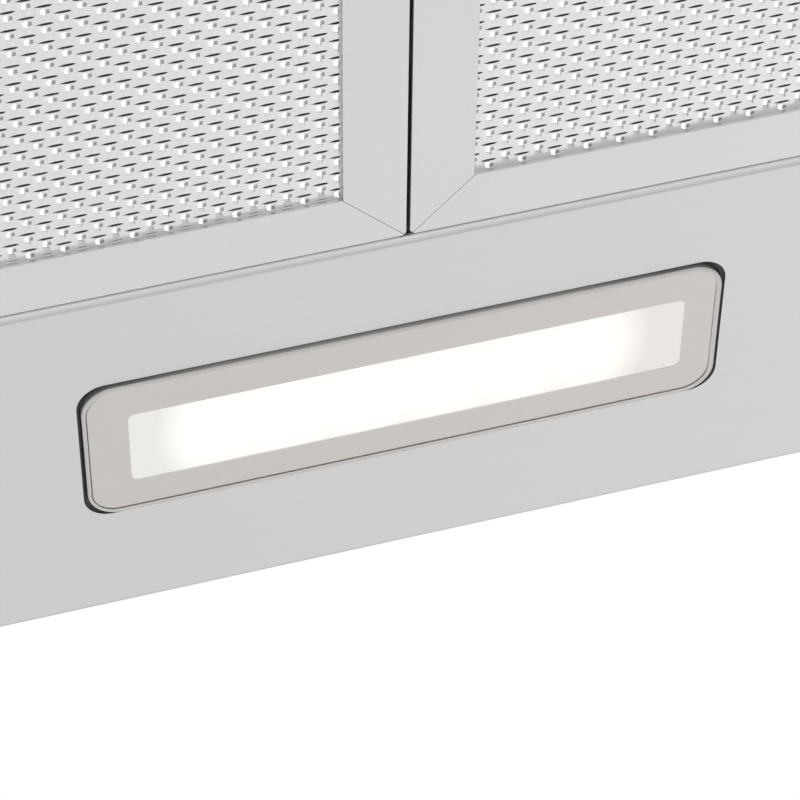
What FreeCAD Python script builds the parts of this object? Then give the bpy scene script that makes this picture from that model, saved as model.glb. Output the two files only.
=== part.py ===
import FreeCAD
import Part
import math
import os

# Wall mount range hood of the 60 cm class: a base tray with two mesh filters and a lamp,
# a pyramid canopy, a blower with a backdraft damper, and a two piece chimney.
# X runs across the hood, +Y points at the wall and +Z is up. The origin lies on the wall
# plane at mid width, level with the underside of the base tray. All sizes are millimetres.

# Sheet metal
SHEET = 1.0
BEND = 2.0
LIP_BEND = 2.5
SCREW_R = 1.9
SCREW_PLAY = 0.2
HEAD_R = 3.6
HEAD_HEIGHT = 2.0

# Base tray
BAND_HEIGHT = 60.0
BAND_FLANGE = 12.0
SIDE_STRIP = 38.5
FRONT_STRIP = 43.0
LAMP_STRIP = 137.0

# Filters
FILTER_WIDTH = 260.0
FILTER_DEPTH = 320.0
FILTER_HEIGHT = 9.0
FILTER_GAP = 1.5
FILTER_SPLIT = 1.0
FRAME_FACE = 19.0
FRAME_SHEET = 0.8
FRAME_EDGE_R = 0.6
FRAME_BEND = 0.4
FRAME_CORNER = 1.5
HEM_HEIGHT = 1.8
HEM_R = 0.4
HEM_DEPTH = 6.0
MITRE_GAP = 0.15
MESH_SHEET = 0.8
MESH_PLAY = 0.6
MESH_CELL_X = 36.0
MESH_CELL_Y = 25.0
MESH_STRAND = 5.0
CORE_SHEET = 0.5
CORE_PITCH = 14.0
TONGUE_WIDTH = 24.0
TONGUE_SHEET = 0.8
TONGUE_REACH = 8.0
TONGUE_GRIP = 12.0
TONGUE_INSET = 55.0
TONGUE_DROP = 0.3

# Filter latches
LATCH_WIDTH = 34.0
LATCH_KNOB_DEPTH = 12.0
LATCH_KNOB_HEIGHT = 3.0
LATCH_RIDGE = 1.2
LATCH_RIDGE_RISE = 0.8
LATCH_NECK_WIDTH = 12.0
LATCH_NECK_DEPTH = 5.0
LATCH_PLATE = 1.2
LATCH_TRAVEL = 3.0
LATCH_PLAY = 0.4

# Lamp
LAMP_LENGTH = 199.0
LAMP_WIDTH = 55.1
LAMP_CORNER_R = 10.0
LAMP_GAP = 1.2
LAMP_OPENING_R = 8.8
LAMP_FROM_WALL = 71.3
LAMP_PROUD = 1.6
LAMP_FACE = 0.5
LAMP_EDGE_R = 1.2
LAMP_WALL = 1.2
LAMP_SEAT = 3.0
WINDOW_LENGTH = 173.8
WINDOW_WIDTH = 29.4
WINDOW_CORNER_R = 2.3
WINDOW_SHIFT = 1.1
MASK_SHEET = 0.4
MASK_PLAY = 0.05
DIFFUSER_SHEET = 1.0
LAMP_FLANGE = 7.0
LAMP_BODY_HEIGHT = 16.0
LAMP_BODY_WALL = 1.5
LED_COUNT = 6
LED_PITCH = 28.0
LED_SIZE = 5.0
LED_HEIGHT = 1.0
LED_BOARD_SHEET = 1.5
LED_BOARD_WIDTH = 16.0

# Push buttons on the front band
BUTTON_COUNT = 5
BUTTON_PITCH = 30.0
BUTTON_WIDTH = 22.0
BUTTON_HEIGHT = 12.0
BUTTON_PROUD = 2.8
BUTTON_PLAY = 0.3
BUTTON_TRAVEL = 2.5
BUTTON_CORNER_R = 3.0
BEZEL_MARGIN = 7.0
BEZEL_SHEET = 1.6
SWITCH_DEPTH = 20.0
SWITCH_FLOOR = 4.0
STEM_WIDTH = 8.0

# Blower
BLOWER_FLOOR = 45.0
SCROLL_START_R = 82.0
SCROLL_END_R = 104.0
SCROLL_SWEEP = 225.0
SCROLL_WIDTH = 150.0
SCROLL_WALL = 1.5
OUTLET_RISE = 110.0
OUTLET_FLANGE = 14.0
INLET_R = 58.0
INLET_RIM = 4.0
IMPELLER_R = 70.0
IMPELLER_BLADE = 14.0
IMPELLER_WIDTH = 132.0
IMPELLER_RING = 2.0
BLADE_COUNT = 28
BLADE_SHEET = 1.0
BLADE_LEAN = 9.0
HUB_R = 12.0
HUB_LENGTH = 14.0
SHAFT_R = 4.0
SHAFT_PLAY = 0.08
MOTOR_R = 40.0
MOTOR_LENGTH = 58.0
MOTOR_EDGE_R = 6.0
GROMMET_R = 7.0
GROMMET_LENGTH = 9.0
GROMMET_CIRCLE_R = 72.0
BRACKET_SHEET = 2.0
BRACKET_ARM = 14.0

# Outlet collar and damper
COLLAR_R = 75.0
COLLAR_WALL = 1.2
COLLAR_HEIGHT = 50.0
COLLAR_FLANGE = 13.0
COLLAR_SHEET = 1.5
AXLE_R = 2.0
AXLE_RISE = 20.0
KNUCKLE_WALL = 1.4
KNUCKLE_PLAY = 0.08
KNUCKLE_LENGTH = 16.0
FLAP_SHEET = 1.0
FLAP_PLAY = 1.5
FLAP_START = 5.5

# Chimney
CHIMNEY_WIDTH = 260.0
CHIMNEY_DEPTH = 240.0
LOWER_HEIGHT = 400.0
UPPER_HEIGHT = 400.0
UPPER_RAISED = 250.0
SLIDE_PLAY = 0.5
UPSTAND = 14.0
UPSTAND_PLAY = 0.3
VENT_COUNT = 6
VENT_LENGTH = 140.0
VENT_HEIGHT = 5.0
VENT_PITCH = 12.0
VENT_FROM_TOP = 40.0
WALL_BRACKET_SHEET = 1.5
WALL_BRACKET_HEIGHT = 30.0
WALL_BRACKET_EAR = 28.0

# Back panel, fixings and electrics
BACK_LIFT = 0.2
KEYHOLE_SPACING = 240.0
KEYHOLE_Z = 190.0
KEYHOLE_R = 6.5
KEYHOLE_SLOT = 7.0
KEYHOLE_RISE = 12.0
WALL_HOLE_SPACING = 460.0
WALL_HOLE_Z = 85.0
WALL_HOLE_R = 3.25
BACK_SCREW_COUNT = 5
BACK_SCREW_PITCH = 120.0
BOX_WIDTH = 90.0
BOX_DEPTH = 40.0
BOX_HEIGHT = 70.0
BOX_WALL = 2.0
BOX_X = -145.0
BOX_Z = 80.0
CAPACITOR_R = 16.0
CAPACITOR_HEIGHT = 55.0
CAPACITOR_X = 140.0
CAPACITOR_Z = 85.0
STRAP_SHEET = 1.2
STRAP_HEIGHT = 16.0
STRAP_PLAY = 0.05
GLAND_FROM_SIDE = 22.0
GLAND_FROM_WALL = 32.0
GLAND_R = 9.0
GLAND_BORE_R = 4.0
GLAND_RISE = 20.0
GLAND_NUT = 5.0

# Worked out sizes
HALF_W = SIDE_STRIP + FILTER_WIDTH + FILTER_SPLIT / 2
DEPTH = LAMP_STRIP + FILTER_DEPTH + FRONT_STRIP
FILTER_BACK = -LAMP_STRIP
FILTER_FRONT = FILTER_BACK - FILTER_DEPTH
OPEN_X = FILTER_WIDTH + FILTER_SPLIT / 2 + FILTER_GAP
OPEN_FRONT = FILTER_FRONT - FILTER_GAP
OPEN_BACK = FILTER_BACK + FILTER_GAP
LIP_TOP = FILTER_HEIGHT - TONGUE_DROP
SCROLL_DROP = SCROLL_START_R + (SCROLL_END_R - SCROLL_START_R) * (SCROLL_SWEEP - 90.0) / SCROLL_SWEEP
AXIS_Z = BLOWER_FLOOR + SCROLL_DROP
CANOPY_Z = AXIS_Z + OUTLET_RISE
TOP_Z = CANOPY_Z + SHEET
DUCT_Y = -CHIMNEY_DEPTH / 2
TONGUE_Y = SCROLL_START_R * math.cos(math.radians(SCROLL_SWEEP))
AXIS_Y = DUCT_Y - (SCROLL_END_R + TONGUE_Y) / 2
MOTOR_END = SCROLL_WIDTH / 2 + GROMMET_LENGTH
MOTOR_START = MOTOR_END - MOTOR_LENGTH
COLLAR_TOP = TOP_Z + COLLAR_SHEET + COLLAR_HEIGHT
AXLE_Z = TOP_Z + COLLAR_SHEET + AXLE_RISE
CAPACITOR_Y = -SHEET - STRAP_SHEET - STRAP_PLAY - CAPACITOR_R
GLAND_X = CHIMNEY_WIDTH / 2 - GLAND_FROM_SIDE
UPPER_HALF = CHIMNEY_WIDTH / 2 - SHEET - SLIDE_PLAY
UPPER_FRONT = -CHIMNEY_DEPTH + SHEET + SLIDE_PLAY
UPPER_TOP = TOP_Z + LOWER_HEIGHT + UPPER_RAISED
UPPER_BASE = UPPER_TOP - UPPER_HEIGHT
BUTTON_Z = BAND_HEIGHT / 2
LAMP_HALF_X = LAMP_LENGTH / 2
LAMP_HALF_Y = LAMP_WIDTH / 2
LAMP_ROOF = SHEET + LAMP_SEAT + LAMP_BODY_HEIGHT

X_AXIS = FreeCAD.Vector(1, 0, 0)
Y_AXIS = FreeCAD.Vector(0, 1, 0)
Z_AXIS = FreeCAD.Vector(0, 0, 1)


# Plain shapes
def vec(x, y, z):
    return FreeCAD.Vector(x, y, z)


def box(x0, x1, y0, y1, z0, z1):
    return Part.makeBox(x1 - x0, y1 - y0, z1 - z0, vec(x0, y0, z0))


def rod(radius, start, axis, length):
    return Part.makeCylinder(radius, length, start, axis)


def tube(outer_r, inner_r, start, axis, length):
    return rod(outer_r, start, axis, length).cut(rod(inner_r, start, axis, length))


def rounded_box(x0, x1, y0, y1, z0, z1, radius, along=Z_AXIS):
    """A box whose edges along one axis are rounded."""
    shape = box(x0, x1, y0, y1, z0, z1)
    edges = []
    for edge in shape.Edges:
        run = edge.Vertexes[1].Point - edge.Vertexes[0].Point
        if run.cross(along).Length < 1e-6:
            edges.append(edge)
    return shape.makeFillet(radius, edges)


def bent_box(x0, x1, y0, y1, z0, z1, radius):
    """A box with rounded bottom and standing edges, square at the top."""
    shape = box(x0, x1, y0, y1, z0, z1)
    edges = []
    for edge in shape.Edges:
        if edge.CenterOfMass.z < z1 - 1e-6:
            edges.append(edge)
    return shape.makeFillet(radius, edges)


def prism(points, run):
    """A flat outline swept along one vector."""
    wire = Part.makePolygon(points + [points[0]])
    return Part.Face(wire).extrude(run)


def polyhedron(faces):
    shell = Part.makeShell([Part.Face(Part.makePolygon(face + [face[0]])) for face in faces])
    return Part.Solid(shell)


def fuse_all(shapes):
    return shapes[0].multiFuse(shapes[1:]).removeSplitter()


def cut_all(shape, tools):
    return shape.cut(Part.makeCompound(tools))


def mirrored(shape):
    return shape.mirror(vec(0, 0, 0), X_AXIS)


def screw(point, axis, length):
    """Pan head screw: the head sits on the point, the shank runs the other way."""
    head = Part.makeCone(HEAD_R, HEAD_R * 0.7, HEAD_HEIGHT, point, axis)
    shank = rod(SCREW_R, point, axis * -1.0, length)
    return head.fuse(shank).removeSplitter()


def screw_hole(point, axis, length):
    return rod(SCREW_R + SCREW_PLAY, point - axis * length, axis, 2 * length)


# Four like pieces set round a rectangle, each built along +X with its inside towards +Y
def around(x0, x1, y0, y1, build):
    sides = [
        (x1 - x0, vec(x0, y0, 0), 0),
        (y1 - y0, vec(x1, y0, 0), 90),
        (x1 - x0, vec(x1, y1, 0), 180),
        (y1 - y0, vec(x0, y1, 0), 270),
    ]
    pieces = []
    for length, corner, turn in sides:
        piece = build(length)
        piece.Placement = FreeCAD.Placement(corner, FreeCAD.Rotation(Z_AXIS, turn))
        pieces.append(piece)
    return pieces


# Base tray
def lip(length):
    """Turned up lip of the filter opening, ending short of the corners."""
    start = 2 * LIP_BEND
    inner = LIP_BEND - SHEET
    slant = math.sqrt(0.5)
    outer_arc = Part.Arc(
        vec(start, 0, 0),
        vec(start, LIP_BEND * slant, LIP_BEND * (1 - slant)),
        vec(start, LIP_BEND, LIP_BEND),
    )
    inner_arc = Part.Arc(
        vec(start, inner, LIP_BEND),
        vec(start, inner * slant, LIP_BEND - inner * slant),
        vec(start, 0, SHEET),
    )
    edges = [
        outer_arc.toShape(),
        Part.makeLine(vec(start, LIP_BEND, LIP_BEND), vec(start, LIP_BEND, LIP_TOP)),
        Part.makeLine(vec(start, LIP_BEND, LIP_TOP), vec(start, inner, LIP_TOP)),
        Part.makeLine(vec(start, inner, LIP_TOP), vec(start, inner, LIP_BEND)),
        inner_arc.toShape(),
        Part.makeLine(vec(start, 0, SHEET), vec(start, 0, 0)),
    ]
    return Part.Face(Part.Wire(edges)).extrude(vec(length - 2 * start, 0, 0))


def back_screw_points():
    first = -(BACK_SCREW_COUNT - 1) / 2
    y = -2 * SHEET
    return [vec((first + i) * BACK_SCREW_PITCH, y, BAND_HEIGHT / 2) for i in range(BACK_SCREW_COUNT)]


def button_xs():
    first = -(BUTTON_COUNT - 1) / 2
    return [(first + i) * BUTTON_PITCH for i in range(BUTTON_COUNT)]


def button_hole(x, y0, y1):
    half_w = BUTTON_WIDTH / 2 + BUTTON_PLAY
    half_h = BUTTON_HEIGHT / 2 + BUTTON_PLAY
    return rounded_box(
        x - half_w, x + half_w, y0, y1, BUTTON_Z - half_h, BUTTON_Z + half_h,
        BUTTON_CORNER_R + BUTTON_PLAY, Y_AXIS,
    )


def lamp_outline(grow, z0, z1, corner=LAMP_CORNER_R):
    """Block with the lamp's plan outline, grown or shrunk all round."""
    return rounded_box(
        -LAMP_HALF_X - grow, LAMP_HALF_X + grow,
        -LAMP_FROM_WALL - LAMP_HALF_Y - grow, -LAMP_FROM_WALL + LAMP_HALF_Y + grow,
        z0, z1, corner + grow,
    )


def base_tray():
    beyond = 2 * BEND
    tray = bent_box(-HALF_W, HALF_W, -DEPTH, beyond, 0, BAND_HEIGHT, BEND)
    tray = tray.cut(box(-HALF_W, HALF_W, -SHEET, beyond, 0, BAND_HEIGHT))
    inside = bent_box(
        -HALF_W + SHEET, HALF_W - SHEET, -DEPTH + SHEET, beyond, SHEET, BAND_HEIGHT - SHEET, BEND - SHEET,
    )
    inside = inside.cut(box(-HALF_W, HALF_W, -2 * SHEET, beyond, 0, BAND_HEIGHT))
    mouth = box(
        -HALF_W + BAND_FLANGE, HALF_W - BAND_FLANGE, -DEPTH + BAND_FLANGE, -SHEET - BAND_FLANGE,
        BAND_HEIGHT - 2 * SHEET, BAND_HEIGHT + SHEET,
    )
    x1 = OPEN_X + LIP_BEND
    y0 = OPEN_FRONT - LIP_BEND
    y1 = OPEN_BACK + LIP_BEND
    cuts = [
        inside,
        mouth,
        box(-x1, x1, y0, y1, -SHEET, 2 * SHEET),
        lamp_outline(LAMP_GAP, -SHEET, 2 * SHEET, LAMP_OPENING_R - LAMP_GAP),
    ]
    cuts += [button_hole(x, -DEPTH - SHEET, -DEPTH + 2 * SHEET) for x in button_xs()]
    cuts += [screw_hole(point, Y_AXIS, 4 * SHEET) for point in back_screw_points()]
    tray = cut_all(tray, cuts)
    return fuse_all([tray] + around(-x1, x1, y0, y1, lip))


# Canopy
def frustum(side_inset, front_inset):
    """Pyramid block between the band and the chimney, moved in at its sides and front."""
    low = HALF_W - side_inset
    high = CHIMNEY_WIDTH / 2 - side_inset
    low_y = -DEPTH + front_inset
    high_y = -CHIMNEY_DEPTH + front_inset
    back = -SHEET
    a = [vec(-low, low_y, BAND_HEIGHT), vec(low, low_y, BAND_HEIGHT)]
    a += [vec(low, back, BAND_HEIGHT), vec(-low, back, BAND_HEIGHT)]
    b = [vec(-high, high_y, CANOPY_Z), vec(high, high_y, CANOPY_Z)]
    b += [vec(high, back, CANOPY_Z), vec(-high, back, CANOPY_Z)]
    faces = [a[::-1], b]
    for i in range(4):
        j = (i + 1) % 4
        faces.append([a[i], a[j], b[j], b[i]])
    return polyhedron(faces)


def canopy_insets():
    rise = CANOPY_Z - BAND_HEIGHT
    side = math.hypot(HALF_W - CHIMNEY_WIDTH / 2, rise) / rise
    front = math.hypot(DEPTH - CHIMNEY_DEPTH, rise) / rise
    return SHEET * side, SHEET * front


def canopy_front():
    return frustum(0, 0).cut(frustum(0, canopy_insets()[1]))


def canopy_side(sign):
    side, front = canopy_insets()
    sheets = frustum(0, front).cut(frustum(side, front)).Solids
    return [sheet for sheet in sheets if sheet.CenterOfMass.x * sign > 0][0]


def collar_screw_points():
    reach = COLLAR_R + COLLAR_FLANGE / 2
    z = TOP_Z + COLLAR_SHEET
    return [vec(i * reach, DUCT_Y + j * reach, z) for i in (-1, 1) for j in (-1, 1)]


def chimney_screw_points(sign):
    x = sign * CHIMNEY_WIDTH / 2
    z = TOP_Z + UPSTAND / 2
    return [vec(x, DUCT_Y + j * CHIMNEY_DEPTH / 4, z) for j in (-1, 1)]


def canopy_top():
    half = CHIMNEY_WIDTH / 2
    plate = box(-half, half, -CHIMNEY_DEPTH, -SHEET, CANOPY_Z, TOP_Z)
    inset = SHEET + UPSTAND_PLAY
    rim = box(-half + inset, half - inset, -CHIMNEY_DEPTH + inset, -SHEET, TOP_Z, TOP_Z + UPSTAND)
    inset += SHEET
    hollow = box(-half + inset, half - inset, -CHIMNEY_DEPTH + inset, 0, TOP_Z, TOP_Z + UPSTAND)
    cuts = [rod(COLLAR_R - COLLAR_WALL, vec(0, DUCT_Y, CANOPY_Z), Z_AXIS, SHEET)]
    cuts += [rod(GLAND_R - 2 * SHEET + SCREW_PLAY, vec(GLAND_X, -GLAND_FROM_WALL, CANOPY_Z), Z_AXIS, SHEET)]
    cuts += [screw_hole(point, Z_AXIS, 5 * SHEET) for point in collar_screw_points()]
    for sign in (-1, 1):
        cuts += [screw_hole(point, X_AXIS * sign, 5 * SHEET) for point in chimney_screw_points(sign)]
    return cut_all(fuse_all([plate, rim.cut(hollow)]), cuts)


def keyhole(x):
    """Round entry below, narrow slot above for the hook's neck."""
    entry = rod(KEYHOLE_R, vec(x, -2 * SHEET, KEYHOLE_Z), Y_AXIS, 3 * SHEET)
    half = KEYHOLE_SLOT / 2
    slot = box(x - half, x + half, -2 * SHEET, SHEET, KEYHOLE_Z, KEYHOLE_Z + KEYHOLE_RISE)
    end = rod(half, vec(x, -2 * SHEET, KEYHOLE_Z + KEYHOLE_RISE), Y_AXIS, 3 * SHEET)
    return fuse_all([entry, slot, end])


def back_panel():
    half = CHIMNEY_WIDTH / 2
    low = HALF_W - BEND
    outline = [vec(-low, 0, BACK_LIFT), vec(low, 0, BACK_LIFT), vec(HALF_W, 0, BEND)]
    outline += [vec(HALF_W, 0, BAND_HEIGHT), vec(half, 0, CANOPY_Z)]
    outline += [vec(half, 0, TOP_Z), vec(-half, 0, TOP_Z)]
    outline += [vec(-half, 0, CANOPY_Z), vec(-HALF_W, 0, BAND_HEIGHT), vec(-HALF_W, 0, BEND)]
    panel = prism(outline, vec(0, -SHEET, 0))
    cuts = [keyhole(x) for x in (-KEYHOLE_SPACING / 2, KEYHOLE_SPACING / 2)]
    for x in (-WALL_HOLE_SPACING / 2, WALL_HOLE_SPACING / 2):
        cuts.append(rod(WALL_HOLE_R, vec(x, -2 * SHEET, WALL_HOLE_Z), Y_AXIS, 3 * SHEET))
    cuts += [screw_hole(point, Y_AXIS, 4 * SHEET) for point in back_screw_points()]
    return cut_all(panel, cuts)


# Chimney covers and their wall bracket
def cover(half, front, z0, z1):
    """Cover open towards the wall, bent from one sheet."""
    shape = box(-half, half, front, 0, z0, z1)
    edges = [edge for edge in shape.Edges if edge.CenterOfMass.y < front + 1e-6 and edge.Curve.Direction.z]
    shape = shape.makeFillet(BEND, edges)
    hollow = box(-half + SHEET, half - SHEET, front + SHEET, SHEET, z0 - SHEET, z1 + SHEET)
    edges = [e for e in hollow.Edges if e.CenterOfMass.y < front + 1.5 * SHEET and e.Curve.Direction.z]
    return shape.cut(hollow.makeFillet(BEND - SHEET, edges))


def chimney_lower():
    shape = cover(CHIMNEY_WIDTH / 2, -CHIMNEY_DEPTH, TOP_Z, TOP_Z + LOWER_HEIGHT)
    holes = []
    for sign in (-1, 1):
        holes += [screw_hole(point, X_AXIS * sign, 5 * SHEET) for point in chimney_screw_points(sign)]
    return cut_all(shape, holes)


def bracket_screw_points(sign):
    z = UPPER_TOP - WALL_BRACKET_HEIGHT / 2
    return [vec(sign * UPPER_HALF, -WALL_BRACKET_EAR / 2, z)]


def chimney_upper():
    shape = cover(UPPER_HALF, UPPER_FRONT, UPPER_BASE, UPPER_TOP)
    cuts = []
    y0 = DUCT_Y - VENT_LENGTH / 2
    for i in range(VENT_COUNT):
        z = UPPER_TOP - VENT_FROM_TOP - i * VENT_PITCH
        cuts.append(rounded_box(
            -UPPER_HALF - SHEET, UPPER_HALF + SHEET, y0, y0 + VENT_LENGTH,
            z - VENT_HEIGHT / 2, z + VENT_HEIGHT / 2, VENT_HEIGHT * 0.49, X_AXIS,
        ))
    for sign in (-1, 1):
        cuts += [screw_hole(point, X_AXIS * sign, 5 * SHEET) for point in bracket_screw_points(sign)]
    return cut_all(shape, cuts)


def chimney_bracket():
    half = UPPER_HALF - SHEET - UPSTAND_PLAY
    sheet = WALL_BRACKET_SHEET
    z1 = UPPER_TOP
    z0 = z1 - WALL_BRACKET_HEIGHT
    pieces = [box(-half, half, -sheet, 0, z0, z1)]
    for x in (-half, half - sheet):
        pieces.append(box(x, x + sheet, -WALL_BRACKET_EAR, 0, z0, z1))
    holes = []
    for x in (-half / 2, half / 2):
        holes.append(rod(WALL_HOLE_R, vec(x, -2 * sheet, (z0 + z1) / 2), Y_AXIS, 3 * sheet))
    for sign in (-1, 1):
        holes += [screw_hole(point, X_AXIS * sign, 5 * SHEET) for point in bracket_screw_points(sign)]
    return cut_all(fuse_all(pieces), holes)


def bracket_screws():
    length = SHEET + UPSTAND_PLAY + WALL_BRACKET_SHEET
    return [screw(point, X_AXIS * sign, length) for sign in (-1, 1) for point in bracket_screw_points(sign)]


def chimney_screws():
    length = 2 * SHEET + UPSTAND_PLAY
    return [screw(point, X_AXIS * sign, length) for sign in (-1, 1) for point in chimney_screw_points(sign)]


# Filters. Each one is built as the right hand filter and mirrored for the left
def filter_x():
    return FILTER_SPLIT / 2, FILTER_SPLIT / 2 + FILTER_WIDTH


def quarter(start, corner, end):
    """Quarter round from one point to another, inside the corner where their lines meet."""
    middle = start + end - corner
    return Part.Arc(start, middle + (corner - middle) * math.sqrt(0.5), end).toShape()


def channel_bar(length):
    """Channel with a hem pressed flat at its inner edge, mitred at both ends with blunt corners."""
    slant = math.sqrt(0.5)
    edge = FRAME_EDGE_R
    bend = FRAME_SHEET + FRAME_BEND
    nose = FRAME_FACE - HEM_R
    top = FILTER_HEIGHT
    points = [
        vec(0, nose, HEM_HEIGHT), vec(0, FRAME_FACE - HEM_DEPTH, HEM_HEIGHT),
        vec(0, FRAME_FACE - HEM_DEPTH, FRAME_SHEET), vec(0, bend, FRAME_SHEET),
        vec(0, FRAME_SHEET, bend), vec(0, FRAME_SHEET, top - FRAME_SHEET),
        vec(0, FRAME_FACE, top - FRAME_SHEET), vec(0, FRAME_FACE, top),
        vec(0, 0, top), vec(0, 0, edge),
    ]
    edges = [Part.makeLine(points[i], points[i + 1]) for i in range(len(points) - 1)]
    low_wall, high_wall = vec(0, FRAME_FACE, HEM_R), vec(0, FRAME_FACE, HEM_HEIGHT - HEM_R)
    edges += [
        quarter(vec(0, 0, edge), vec(0, 0, 0), vec(0, edge, 0)),
        Part.makeLine(vec(0, edge, 0), vec(0, nose, 0)),
        quarter(vec(0, nose, 0), vec(0, FRAME_FACE, 0), low_wall),
        Part.makeLine(low_wall, high_wall),
        quarter(high_wall, vec(0, FRAME_FACE, HEM_HEIGHT), vec(0, nose, HEM_HEIGHT)),
    ]
    bar = Part.Face(Part.Wire(edges)).extrude(vec(length, 0, 0))
    ease = MITRE_GAP * slant
    over = FRAME_FACE + SHEET
    blunt = ease + FRAME_CORNER
    half = FRAME_CORNER / 2
    outline = [vec(ease + half, half, 0), vec(blunt, 0, 0)]
    outline += [vec(length - blunt, 0, 0), vec(length - ease - half, half, 0)]
    outline += [vec(length - ease - over, over, 0), vec(ease + over, over, 0)]
    return bar.common(prism(outline, vec(0, 0, top)))


def latch_x():
    x0, x1 = filter_x()
    return (x0 + x1) / 2


def latch_slot():
    """Slot through the front bar for the latch neck."""
    half_w = LATCH_NECK_WIDTH / 2 + LATCH_PLAY
    half_d = LATCH_NECK_DEPTH / 2 + LATCH_TRAVEL + LATCH_PLAY
    y = FILTER_FRONT + FRAME_FACE / 2
    x = latch_x()
    return box(x - half_w, x + half_w, y - half_d, y + half_d, -SHEET, FILTER_HEIGHT + SHEET)


def filter_frame():
    x0, x1 = filter_x()
    bars = around(x0, x1, FILTER_FRONT, FILTER_BACK, channel_bar)
    return [bar.cut(latch_slot()) for bar in bars]


def cell_wire(x, y, half_x, half_y, z):
    """Six sided opening of the expanded sheet, with blunt ends."""
    blunt = half_y / 4
    points = [vec(x - half_x, y - blunt, z), vec(x, y - half_y, z), vec(x + half_x, y - blunt, z)]
    points += [vec(x + half_x, y + blunt, z), vec(x, y + half_y, z), vec(x - half_x, y + blunt, z)]
    return Part.makePolygon(points + [points[0]])


def expanded_sheet(z0, cell_x, cell_y):
    """Flat expanded sheet that fills the frame's channel, with staggered openings."""
    x0, x1 = filter_x()
    wall = FRAME_SHEET + MESH_PLAY
    outline = [vec(x0 + wall, FILTER_FRONT + wall, z0), vec(x1 - wall, FILTER_FRONT + wall, z0)]
    outline += [vec(x1 - wall, FILTER_BACK - wall, z0), vec(x0 + wall, FILTER_BACK - wall, z0)]
    face_x = FILTER_WIDTH - 2 * FRAME_FACE
    face_y = FILTER_DEPTH - 2 * FRAME_FACE
    columns = int(face_x / cell_x)
    rows = int(2 * face_y / cell_y) - 1
    mid_y = (FILTER_FRONT + FILTER_BACK) / 2
    half_x = (cell_x - MESH_STRAND) / 2
    half_y = (cell_y - MESH_STRAND) / 2 - strand_room(cell_y)
    wires = [Part.makePolygon(outline + [outline[0]])]
    for row in range(rows):
        count = columns - row % 2
        y = mid_y + (row - (rows - 1) / 2) * cell_y / 2
        for column in range(count):
            x = latch_x() + (column - (count - 1) / 2) * cell_x
            wires.append(cell_wire(x, y, half_x, half_y, z0))
    face = Part.makeFace(wires, "Part::FaceMakerBullseye")
    return face.extrude(vec(0, 0, MESH_SHEET)).cut(latch_slot())


def strand_room(cell_y):
    """Height taken off each opening so that the rows between leave a full strand."""
    return cell_y / 10


def front_mesh():
    return expanded_sheet(HEM_HEIGHT, MESH_CELL_X, MESH_CELL_Y)


def back_mesh():
    return expanded_sheet(FILTER_HEIGHT - FRAME_SHEET - MESH_SHEET, 2 * MESH_CELL_X, 2 * MESH_CELL_Y)


def filter_core():
    """Corrugated sheet between the two meshes."""
    x0, x1 = filter_x()
    low = HEM_HEIGHT + MESH_SHEET
    high = FILTER_HEIGHT - FRAME_SHEET - MESH_SHEET - CORE_SHEET
    count = int((FILTER_DEPTH - 2 * FRAME_FACE) / CORE_PITCH)
    y0 = (FILTER_FRONT + FILTER_BACK) / 2 - count * CORE_PITCH / 2
    flat = CORE_PITCH / 8
    line = []
    for i in range(count):
        y = y0 + i * CORE_PITCH
        line += [(y, low), (y + flat, low), (y + CORE_PITCH / 2, high), (y + CORE_PITCH / 2 + flat, high)]
    line.append((y0 + count * CORE_PITCH, low))
    x = x0 + FRAME_FACE
    under = [vec(x, y, z) for y, z in line]
    over = [vec(x, y, z + CORE_SHEET) for y, z in reversed(line)]
    return prism(under + over, vec(FILTER_WIDTH - 2 * FRAME_FACE, 0, 0))


def tongues():
    """Two tabs on the frame's top that rest on the lip at the lamp's side."""
    x0, x1 = filter_x()
    tabs = []
    for x in (x0 + TONGUE_INSET, x1 - TONGUE_INSET):
        tabs.append(box(
            x - TONGUE_WIDTH / 2, x + TONGUE_WIDTH / 2, FILTER_BACK - TONGUE_GRIP, FILTER_BACK + TONGUE_REACH,
            FILTER_HEIGHT, FILTER_HEIGHT + TONGUE_SHEET,
        ))
    return tabs


def latch():
    """Finger knob below the bar, neck through it and tongue plate above it."""
    x = latch_x()
    y = FILTER_FRONT + FRAME_FACE / 2
    half = LATCH_WIDTH / 2
    half_d = LATCH_KNOB_DEPTH / 2
    low = -LATCH_PLAY
    knob_low = low - LATCH_KNOB_HEIGHT
    knob = rounded_box(x - half, x + half, y - half_d, y + half_d, knob_low, low, half_d * 0.95)
    ridges = []
    for i in (-1, 0, 1):
        y0 = y + i * half_d / 2 - LATCH_RIDGE / 2
        ridges.append(box(x - half / 2, x + half / 2, y0, y0 + LATCH_RIDGE, knob_low - LATCH_RIDGE_RISE, low))
    neck_w = LATCH_NECK_WIDTH / 2
    neck_d = LATCH_NECK_DEPTH / 2
    top = FILTER_HEIGHT + LATCH_PLAY
    neck = box(x - neck_w, x + neck_w, y - neck_d, y + neck_d, low, top)
    tip = OPEN_FRONT + LATCH_PLAY
    plate = box(x - half, x + half, tip, y + neck_d, top, top + LATCH_PLATE)
    return fuse_all([knob] + ridges + [neck, plate])


# Lamp
def lamp_cover():
    """Clear lid with a thin face and a rim that seats in the housing."""
    lid = lamp_outline(0, -LAMP_PROUD, LAMP_SEAT)
    low = [edge for edge in lid.Edges if edge.BoundBox.ZMax < -LAMP_PROUD + 1e-6]
    lid = lid.makeFillet(LAMP_EDGE_R, low)
    return lid.cut(lamp_outline(-LAMP_WALL, -LAMP_PROUD + LAMP_FACE, LAMP_SEAT + SHEET))


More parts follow.
